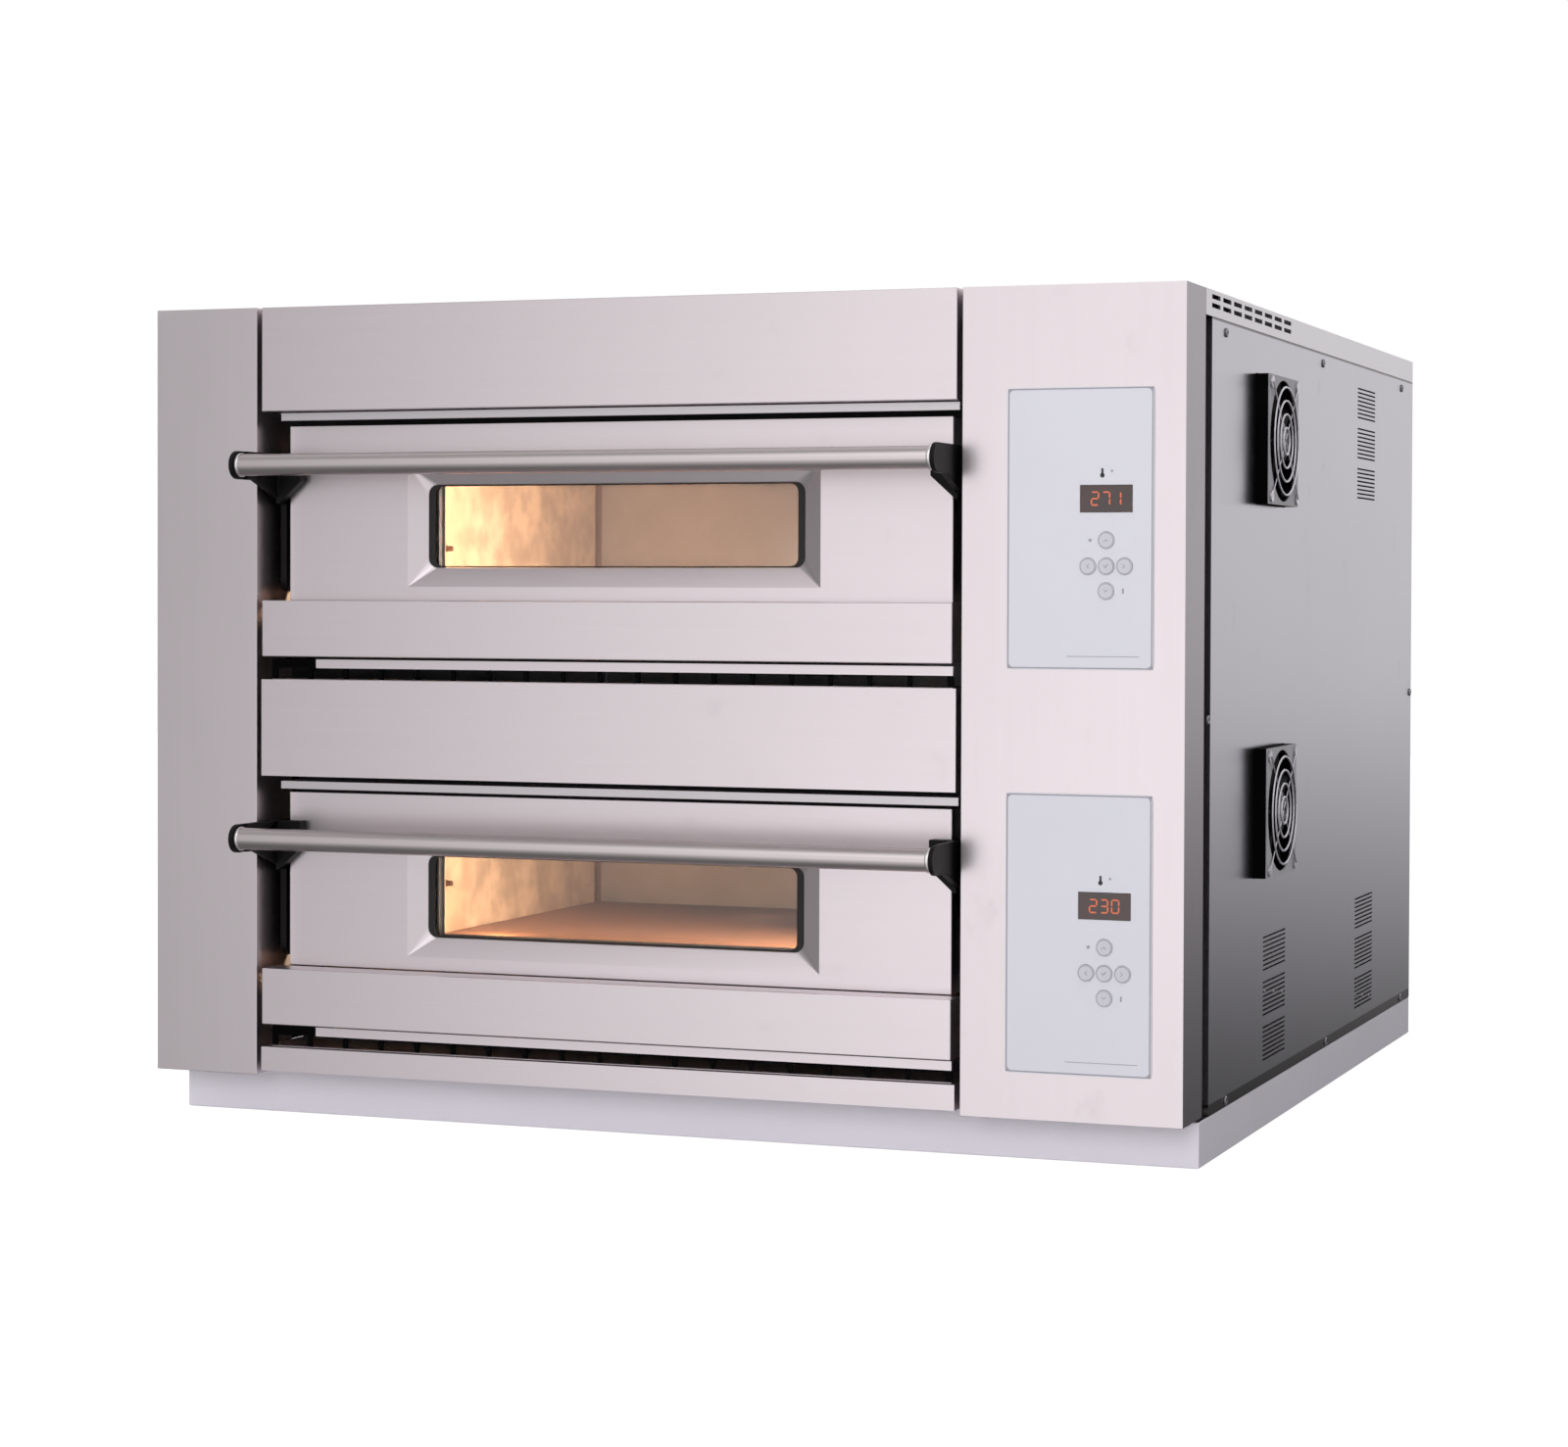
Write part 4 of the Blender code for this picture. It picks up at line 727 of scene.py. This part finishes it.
def hidden_lamp(name, kind, end, offset, power, colour, size):
    """A light inside a chamber that shows only by what it lights. A flat one faces the left wall."""
    light = bpy.data.lights.new(name, kind)
    light.energy, light.color = power, colour
    if kind == "AREA":
        light.size, light.spread = size, WASH_SPREAD
    else:
        light.shadow_soft_size = size
    holder = bpy.data.objects.new(name, light)
    bpy.context.scene.collection.objects.link(holder)
    holder.location = end + Vector(offset)
    holder.rotation_euler = (0, math.pi / 2, 0)
    holder.visible_camera = False
    holder.visible_transmission = False
    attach(holder, "oven_body")


chamber_steel = browned_and_shaded_steel()
stone_finish = fired_stone()
sheath = heater_sheath()
lens_glass = lit_lens()
probe_steel = polished("probe_steel", "X", (0.09, 0.05, 0.03), 0.45)
for deck in DECKS:
    coat(f"{deck}_chamber_liner", chamber_steel)
    coat(f"{deck}_hearth_stone", stone_finish)
    coat(f"{deck}_lamp_lens", lens_glass)
    heater = copy_of(f"{deck}_ceiling_heater")
    smooth(heater, math.radians(50))
    paint(heater, sheath)
    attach(heater, "oven_body")
    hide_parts(f"{deck}_ceiling_heater")
    lens_low, lens_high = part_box(f"{deck}_lamp_lens")
    lamp = (lens_low + lens_high) / 2
    left_end = Vector((lens_high.x, lamp.y, lamp.z))
    right_end = Vector((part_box(f"{deck}_hearth_stone")[1].x, lamp.y, lamp.z))
    for name, kind, end, offset, power, colour, size in (
        ("lamp_light", "POINT", left_end, LAMP_OFFSET, LAMP_POWER[deck], LAMP_GLOW, LAMP_SIZE),
        ("wall_wash", "AREA", right_end, WASH_OFFSET, WASH_POWER[deck], WASH_GLOW, WASH_SIZE),
        ("right_light", "POINT", right_end, BACK_OFFSET, BACK_POWER[deck], BACK_GLOW, LAMP_SIZE),
    ):
        hidden_lamp(f"{deck}_{name}", kind, end, offset, power, colour, size)
    middle = (lens_low.x - FIT + PROBE_LENGTH / 2, lamp.y + PROBE_BACK, lamp.z + PROBE_RISE)
    probe = turned(f"{deck}_probe", middle, "X", PROBE_RADIUS, PROBE_LENGTH, 24)
    lone(probe)
    bpy.ops.object.mode_set(mode="EDIT")
    select_faces(probe, lambda spot, normal: normal.x < -0.9)
    bpy.ops.mesh.extrude_region_move(TRANSFORM_OT_translate={"value": (-0.0001, 0, 0)})
    bpy.ops.transform.resize(value=(1, PROBE_FOOT, PROBE_FOOT))
    bpy.ops.object.mode_set(mode="OBJECT")
    round_edges(probe, 0.0012, 3)
    smooth(probe)
    place(probe, "oven_body", probe_steel, "heater_sheath")

# ---- Control panels ----
# A pale printed film is stuck over each cutout, with a grey border, pictograms and a rule printed on it.
# Five keys click under it, each with a printed ring and sign, below a dark window with red lit digits.

FILM_COLOUR = (0.700, 0.695, 0.755)
PRINT_GREY = (0.34, 0.33, 0.37)
PRINT_DARK = (0.045, 0.045, 0.055)
PRINT_RISE = 0.00012
BORDER_INSET, BORDER_WIDTH, BORDER_CORNER = 0.0008, 0.0012, 0.0040
RULE_SPAN, RULE_HEIGHT, RULE_RISE = (0.054, 0.118), 0.0006, 0.0115
RING_RADIUS, RING_WIDTH, RING_FLATNESS = 0.0064, 0.0007, 0.35
HEAT_ACROSS, HEAT_RISE, BULB_RADIUS, BULB_DROP = -0.0035, 0.0105, 0.0020, 0.0022
STEM_WIDTH, STEM_HEIGHT, STEM_RISE = 0.0020, 0.0058, 0.0010
DEGREE_RADIUS, DEGREE_ACROSS, DEGREE_RISE = 0.0011, 0.0085, 0.0015
CHEVRON_REACH, CHEVRON_STROKE = 0.0019, 0.0009
CLOCK_RADIUS, CLOCK_GAP = 0.0015, 0.0068
LIGHT_SIGN, LIGHT_GAP = (0.0016, 0.0045), 0.0078
KEYS = ("top", "left", "middle", "right", "bottom")
DIGIT_HEIGHT, DIGIT_WIDTH, DIGIT_PITCH, DIGIT_STROKE = 0.0110, 0.0062, 0.0098, 0.0014
STROKE_GAP = 0.15
READINGS = {"upper": "271", "lower": "230"}
STROKES = {"0": "abcdef", "1": "bc", "2": "abged", "3": "abgcd", "7": "abc"}
STROKE_PLACES = {"a": (0, 1, 1), "b": (1, 0.5, 0), "c": (1, -0.5, 0), "d": (0, -1, 1), "e": (-1, -0.5, 0),
                 "f": (-1, 0.5, 0), "g": (0, 0, 1)}


def film(name, colour, roughness):
    """Screen-printed polyester: even, with the faint texture of its hard coat."""
    finish = Finish(name, colour, roughness, {"Specular IOR Level": 0.35})
    tooth = finish.noise(700.0, detail=2.0)
    clouds = finish.noise(9.0, detail=2.0)
    finish.feed("Base Color", finish.shades(tooth * 0.4 + clouds * 0.6, colour, 0.965, 1.03))
    finish.feed("Roughness", roughness - 0.05 + tooth * 0.1)
    finish.relief(tooth, 0.00003, 0.4)
    return finish.material


def ink(name, colour, glow=0.0):
    finish = Finish(name, colour, 0.6, {"Emission Strength": glow})
    grain = finish.noise(1200.0, detail=1.0)
    shade = finish.shades(grain, colour, 0.85, 1.15)
    finish.feed("Base Color", shade)
    if glow:
        finish.feed("Emission Color", shade)
    finish.feed("Roughness", 0.5 + grain * 0.15)
    return finish.material


def smoked_window():
    finish = Finish("smoked_window", (0.020, 0.012, 0.012), 0.12, {"Coat Weight": 0.5})
    haze = finish.noise(40.0, detail=3.0)
    finish.feed("Base Color", finish.mix(haze, (0.016, 0.010, 0.012, 1), (0.060, 0.022, 0.016, 1)))
    finish.feed("Roughness", 0.10 + haze * 0.10)
    return finish.material


def sign(name, outline, centre, face, material, body, slot="membrane"):
    """A flat printed mark, drawn as an outline round its centre and extruded to the thickness of the ink."""
    bpy.ops.object.select_all(action="DESELECT")
    bpy.ops.mesh.primitive_circle_add(vertices=len(outline), radius=0.001, fill_type="NGON")
    piece = bpy.context.object
    piece.name = name
    for vertex, (across, up) in zip(piece.data.vertices, outline):
        vertex.co = (centre[0] + across, face, centre[1] + up)
    bpy.ops.object.mode_set(mode="EDIT")
    bpy.ops.mesh.select_all(action="SELECT")
    bpy.ops.mesh.extrude_region_move(TRANSFORM_OT_translate={"value": (0, -PRINT_RISE, 0)})
    bpy.ops.mesh.select_all(action="SELECT")
    bpy.ops.mesh.normals_make_consistent(inside=False)
    bpy.ops.object.mode_set(mode="OBJECT")
    return place(piece, body, material, slot)


def joined(pieces, name):
    bpy.ops.object.select_all(action="DESELECT")
    for piece in pieces:
        piece.select_set(True)
    bpy.context.view_layer.objects.active = pieces[0]
    bpy.ops.object.join()
    pieces[0].name = name
    return pieces[0]


def chevron(turn):
    """An arrowhead's outline, turned to point up, left, down or right."""
    reach, stroke = CHEVRON_REACH, CHEVRON_STROKE
    outline = [(-reach, -reach / 2), (0, reach / 2), (reach, -reach / 2), (reach, -reach / 2 - stroke),
               (0, reach / 2 - stroke), (-reach, -reach / 2 - stroke)]
    cosine, sine = math.cos(turn), math.sin(turn)
    return [(x * cosine - z * sine, x * sine + z * cosine) for x, z in outline]


def disc(radius, sides=20):
    turns = [math.tau * side / sides for side in range(sides)]
    return [(radius * math.cos(turn), radius * math.sin(turn)) for turn in turns]


def oblong(width, height, rise=0.0):
    half = width / 2
    low, high = rise - height / 2, rise + height / 2
    return [(-half, low), (half, low), (half, high), (-half, high)]


TICK = [(-0.0022, 0.0004), (-0.0014, 0.0010), (-0.0005, -0.0004), (0.0017, 0.0022), (0.0024, 0.0015),
        (-0.0005, -0.0018)]
KEY_SIGNS = {"top": chevron(0), "left": chevron(math.pi / 2), "middle": TICK, "right": chevron(-math.pi / 2),
             "bottom": chevron(math.pi)}

panel_film = film("panel_film", FILM_COLOUR, 0.42)
key_film = film("key_film", (0.60, 0.59, 0.64), 0.45)
grey_ink = ink("grey_ink", PRINT_GREY)
dark_ink = ink("dark_ink", PRINT_DARK)
lit_red = ink("lit_red", (0.45, 0.11, 0.06), 0.62)
smoked = smoked_window()
for deck in DECKS:
    membrane_low, membrane_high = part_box(f"{deck}_control_membrane")
    window_low, window_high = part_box(f"{deck}_display")
    window = (window_low + window_high) / 2
    coat(f"{deck}_control_membrane", panel_film)
    coat(f"{deck}_display", smoked)
    face = membrane_low.y
    border = flat_ring(f"{deck}_panel_border",
                       (membrane_low.x + BORDER_INSET, face - PRINT_RISE, membrane_low.z + BORDER_INSET),
                       (membrane_high.x - BORDER_INSET, face + FIT / 3, membrane_high.z - BORDER_INSET),
                       BORDER_WIDTH, BORDER_CORNER)
    place(border, "oven_body", grey_ink, "membrane")
    middle = (membrane_low.x + sum(RULE_SPAN) / 2, membrane_low.z + RULE_RISE)
    rule = oblong(RULE_SPAN[1] - RULE_SPAN[0], RULE_HEIGHT)
    sign(f"{deck}_panel_rule", rule, middle, face, grey_ink, "oven_body")
    above = (window.x + HEAT_ACROSS, window_high.z + HEAT_RISE)
    bulb_at = (above[0], above[1] - BULB_DROP)
    bulb = sign(f"{deck}_heat_bulb", disc(BULB_RADIUS), bulb_at, face, dark_ink, "oven_body")
    stem_outline = oblong(STEM_WIDTH, STEM_HEIGHT, STEM_RISE)
    stem = sign(f"{deck}_heat_stem", stem_outline, above, face, dark_ink, "oven_body")
    place(joined([bulb, stem], f"{deck}_heat_sign"), "oven_body", dark_ink, "membrane")
    degree_at = (above[0] + DEGREE_ACROSS, above[1] + DEGREE_RISE)
    sign(f"{deck}_degree_sign", disc(DEGREE_RADIUS), degree_at, face, grey_ink, "oven_body")
    for key in KEYS:
        body = f"{deck}_key_{key}_cap"
        key_low, key_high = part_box(f"{deck}_key_{key}")
        cap = (key_low + key_high) / 2
        coat(f"{deck}_key_{key}", key_film)
        bpy.ops.object.select_all(action="DESELECT")
        on_cap = (cap.x, key_low.y, cap.z)
        bpy.ops.mesh.primitive_torus_add(major_radius=RING_RADIUS, minor_radius=RING_WIDTH / 2,
                                         major_segments=40, minor_segments=6,
                                         rotation=(math.pi / 2, 0, 0), location=on_cap)
        ring = bpy.context.object
        ring.name = f"{deck}_key_{key}_ring"
        bpy.ops.object.transform_apply(location=True, rotation=True, scale=True)
        bpy.ops.object.mode_set(mode="EDIT")
        bpy.ops.mesh.select_all(action="SELECT")
        bpy.ops.transform.resize(value=(1, RING_FLATNESS, 1), center_override=on_cap)
        bpy.ops.object.mode_set(mode="OBJECT")
        place(ring, body, grey_ink, "key_film")
        sign(f"{deck}_key_{key}_sign", KEY_SIGNS[key], (cap.x, cap.z), key_low.y, grey_ink, body, "key_film")
    key_low, key_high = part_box(f"{deck}_key_top")
    clock_at = (key_low.x - CLOCK_GAP, (key_low.z + key_high.z) / 2)
    sign(f"{deck}_clock_sign", disc(CLOCK_RADIUS), clock_at, face, grey_ink, "oven_body")
    key_low, key_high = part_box(f"{deck}_key_bottom")
    light_at = (key_high.x + LIGHT_GAP, (key_low.z + key_high.z) / 2)
    sign(f"{deck}_light_sign", oblong(*LIGHT_SIGN), light_at, face, grey_ink, "oven_body")
    strokes = []
    for number, digit in enumerate(READINGS[deck]):
        across = window.x + (number - 1) * DIGIT_PITCH
        for stroke in STROKES[digit]:
            right, up, level_stroke = STROKE_PLACES[stroke]
            length = DIGIT_WIDTH if level_stroke else DIGIT_HEIGHT / 2
            half = length / 2 - DIGIT_STROKE * STROKE_GAP
            cut = DIGIT_STROKE / 2
            outline = [(-half, 0), (cut - half, -cut), (half - cut, -cut), (half, 0), (half - cut, cut),
                       (cut - half, cut)]
            if not level_stroke:
                outline = [(-z, x) for x, z in outline]
            spot = (across + right * DIGIT_WIDTH / 2, window.z + up * DIGIT_HEIGHT / 2)
            strokes.append(sign(f"{deck}_stroke", outline, spot, window_low.y, lit_red, "oven_body"))
    place(joined(strokes, f"{deck}_reading"), "oven_body", lit_red, "display_lens")
    coat(f"{deck}_control_board", moulded(f"{deck}_board_green", (0.02, 0.10, 0.05), 0.4, 300.0))

# ---- Sides, cover and back ----
# Plain steel sheet, less polished than the front, is held by pan-head screws. The side sheets carry a painted
# shadow along the joint under the cover and painted shade along their foot, and the cover's turned-down
# flanges are slotted.

SIDE_COLOUR = (0.500, 0.488, 0.530)
SCREW_RADIUS, SCREW_HEIGHT, SCREW_SIDES = 0.0042, 0.0019, 24
RECESS_WIDTH, RECESS_LENGTH, RECESS_DEPTH = 0.0010, 0.0044, 0.0010
SIDE_SCREWS = ((0.138, 0.727), (0.542, 0.727), (0.954, 0.727), (0.149, 0.046), (0.570, 0.046), (0.965, 0.046),
               (0.078, 0.387), (1.011, 0.387))
FOOT_SHADE_TOP, JOINT_SHADOW_WIDTH = 0.0505, 0.0022
SIDE_PAINTED_SHADE = (0.085, 0.075, 0.075, 1)
BACK_SCREWS = (-0.47, -0.235, 0.0, 0.235, 0.47)
BACK_SCREW_MARGIN = 0.012


def pan_screw(name, head_at, axis):
    """A pan head with a crossed recess, on the outer side of X or Y."""
    side = Vector((1, 0, 0)) if axis == "X" else Vector((0, 1, 0))
    middle = Vector(head_at) + side * (SCREW_HEIGHT / 2)
    head = turned(name, middle, axis, SCREW_RADIUS, SCREW_HEIGHT, SCREW_SIDES)
    round_edges(head, SCREW_HEIGHT * 0.45, 3)
    smooth(head)
    top = Vector(head_at) + side * SCREW_HEIGHT
    for across, up in ((RECESS_LENGTH, RECESS_WIDTH), (RECESS_WIDTH, RECESS_LENGTH)):
        span = (RECESS_DEPTH, across / 2, up / 2) if axis == "X" else (across / 2, RECESS_DEPTH, up / 2)
        span = Vector(span)
        cutter = block("recess_cutter", top - span, top + span)
        cut = head.modifiers.new("recess", "BOOLEAN")
        cut.operation, cut.solver, cut.object = "DIFFERENCE", "EXACT", cutter
        apply_all(head)
        bpy.data.objects.remove(cutter)
    return head


screw_steel = polished("screw_steel", "Z", (0.30, 0.29, 0.30), 0.30)
side_steel = polished("side_steel", "Z", SIDE_COLOUR, 0.22)
cover_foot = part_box("top_cover")[0].z
# Painted shadow along the joint under the cover and painted shade along the foot of the side sheets.
dressed(side_steel, SIDE_PAINTED_SHADE, lambda across, along, up: (up < FOOT_SHADE_TOP) + (up > cover_foot - JOINT_SHADOW_WIDTH))
cover_steel = polished("cover_steel", "Y", (0.70, 0.68, 0.70), 0.30)
back_steel = polished("back_steel", "Z", (0.56, 0.55, 0.56), 0.34)
coat("left_side_panel", side_steel)
coat("right_side_panel", side_steel)
coat("top_cover", cover_steel)
coat("back_panel", back_steel)
side_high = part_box("right_side_panel")[1]
front_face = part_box("upper_fascia")[0].y
for number, (back_from_front, rise) in enumerate(SIDE_SCREWS):
    screw = pan_screw(f"side_screw_{number}", (side_high.x - FIT, front_face + back_from_front, rise), "X")
    place(screw, "oven_body", screw_steel, "hinge_steel")
back_low, back_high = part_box("back_panel")
for row, rise in (("low", back_low.z + BACK_SCREW_MARGIN), ("high", back_high.z - BACK_SCREW_MARGIN)):
    for number, across in enumerate(BACK_SCREWS):
        screw = pan_screw(f"back_screw_{row}_{number}", (across, back_high.y - FIT, rise), "Y")
        place(screw, "oven_body", screw_steel, "hinge_steel")

# ---- Fans ----
# Two square axial fans blow out through the right side, behind guards of plated wire. Their frames are black
# mouldings with a satin metal face, and each rotor's hub carries a blank foil disc.

FOIL_RADIUS, FOIL_THICKNESS = 0.0165, 0.0002
FOIL_RIM = 0.18
FACE_DEPTH, FACE_METAL, FACE_SHINE = 0.0012, 0.9, 0.03
FACE_COLOUR = (0.53, 0.525, 0.54, 1)


def faced(material, beyond):
    """Gives a moulding a satin metal skin on its outer face."""
    shader = material.node_tree.nodes["Principled BSDF"]
    skin = dressed(material, FACE_COLOUR, lambda across, along, up: across > beyond)
    material.node_tree.links.new((skin * FACE_METAL).socket, shader.inputs["Metallic"])
    shader.inputs["Specular IOR Level"].default_value = FACE_SHINE
    return material


fan_black = moulded("fan_black", (0.005, 0.005, 0.006), 0.45, 500.0)
frame_finish = faced(moulded("fan_frame_black", (0.0012, 0.0012, 0.0012), 0.70, 500.0),
                     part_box("lower_fan_frame")[1].x - FACE_DEPTH)
guard_wire = polished("guard_wire", "X", (0.62, 0.60, 0.64), 0.26)
foil = polished("hub_foil", "Y", (0.55, 0.55, 0.57), 0.35)
for deck in DECKS:
    coat(f"{deck}_fan_frame", frame_finish)
    coat(f"{deck}_fan_rotor", fan_black)
    coat(f"{deck}_fan_guard", guard_wire)
    rotor_low, rotor_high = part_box(f"{deck}_fan_rotor")
    hub = (rotor_low + rotor_high) / 2
    hub.x = rotor_high.x + FOIL_THICKNESS / 2
    label = turned(f"{deck}_hub_foil", hub, "X", FOIL_RADIUS, FOIL_THICKNESS, 40)
    lone(label)
    bpy.ops.object.mode_set(mode="EDIT")
    select_faces(label, lambda spot, normal: normal.x > 0.9)
    bpy.ops.mesh.inset(thickness=FOIL_RADIUS * FOIL_RIM)
    bpy.ops.object.mode_set(mode="OBJECT")
    place(label, f"{deck}_fan_wheel", foil, "fan_black")

# ---- Supply entry ----
# A black nylon gland pushed through a hole in the back panel takes the supply to a terminal box of grey
# moulded plastic, fixed just inside.

coat("cable_gland", moulded("gland_nylon", (0.020, 0.020, 0.022), 0.45))
coat("terminal_box", moulded("terminal_plastic", (0.45, 0.44, 0.42), 0.50))

# ---- Base ----
# The oven stands on a plinth of folded steel sheet, powder coated pale grey. It is set back from the doors,
# and the casing sits on top of it.

PLINTH_COLOUR = (0.81, 0.78, 0.85)


def powder_coat():
    finish = Finish("powder_coat", PLINTH_COLOUR, 0.45, {"Specular IOR Level": 0.4})
    peel = finish.noise(420.0, detail=2.0)
    dust = finish.noise(6.0, detail=5.0, roughness=0.6)
    scuff = finish.ramp(finish.noise(32.0, detail=5.0, roughness=0.7), 0.66, 0.78)
    colour = finish.shades(dust * 0.7 + peel * 0.3, PLINTH_COLOUR, 0.93, 1.05)
    finish.feed("Base Color", finish.mix(scuff * 0.25, colour, (0.42, 0.40, 0.43, 1)))
    finish.feed("Roughness", 0.36 + peel * 0.12 + scuff * 0.12)
    finish.relief(peel, 0.00012, 0.5)
    return finish.material


folded("base_plinth", powder_coat(), 0.0014)
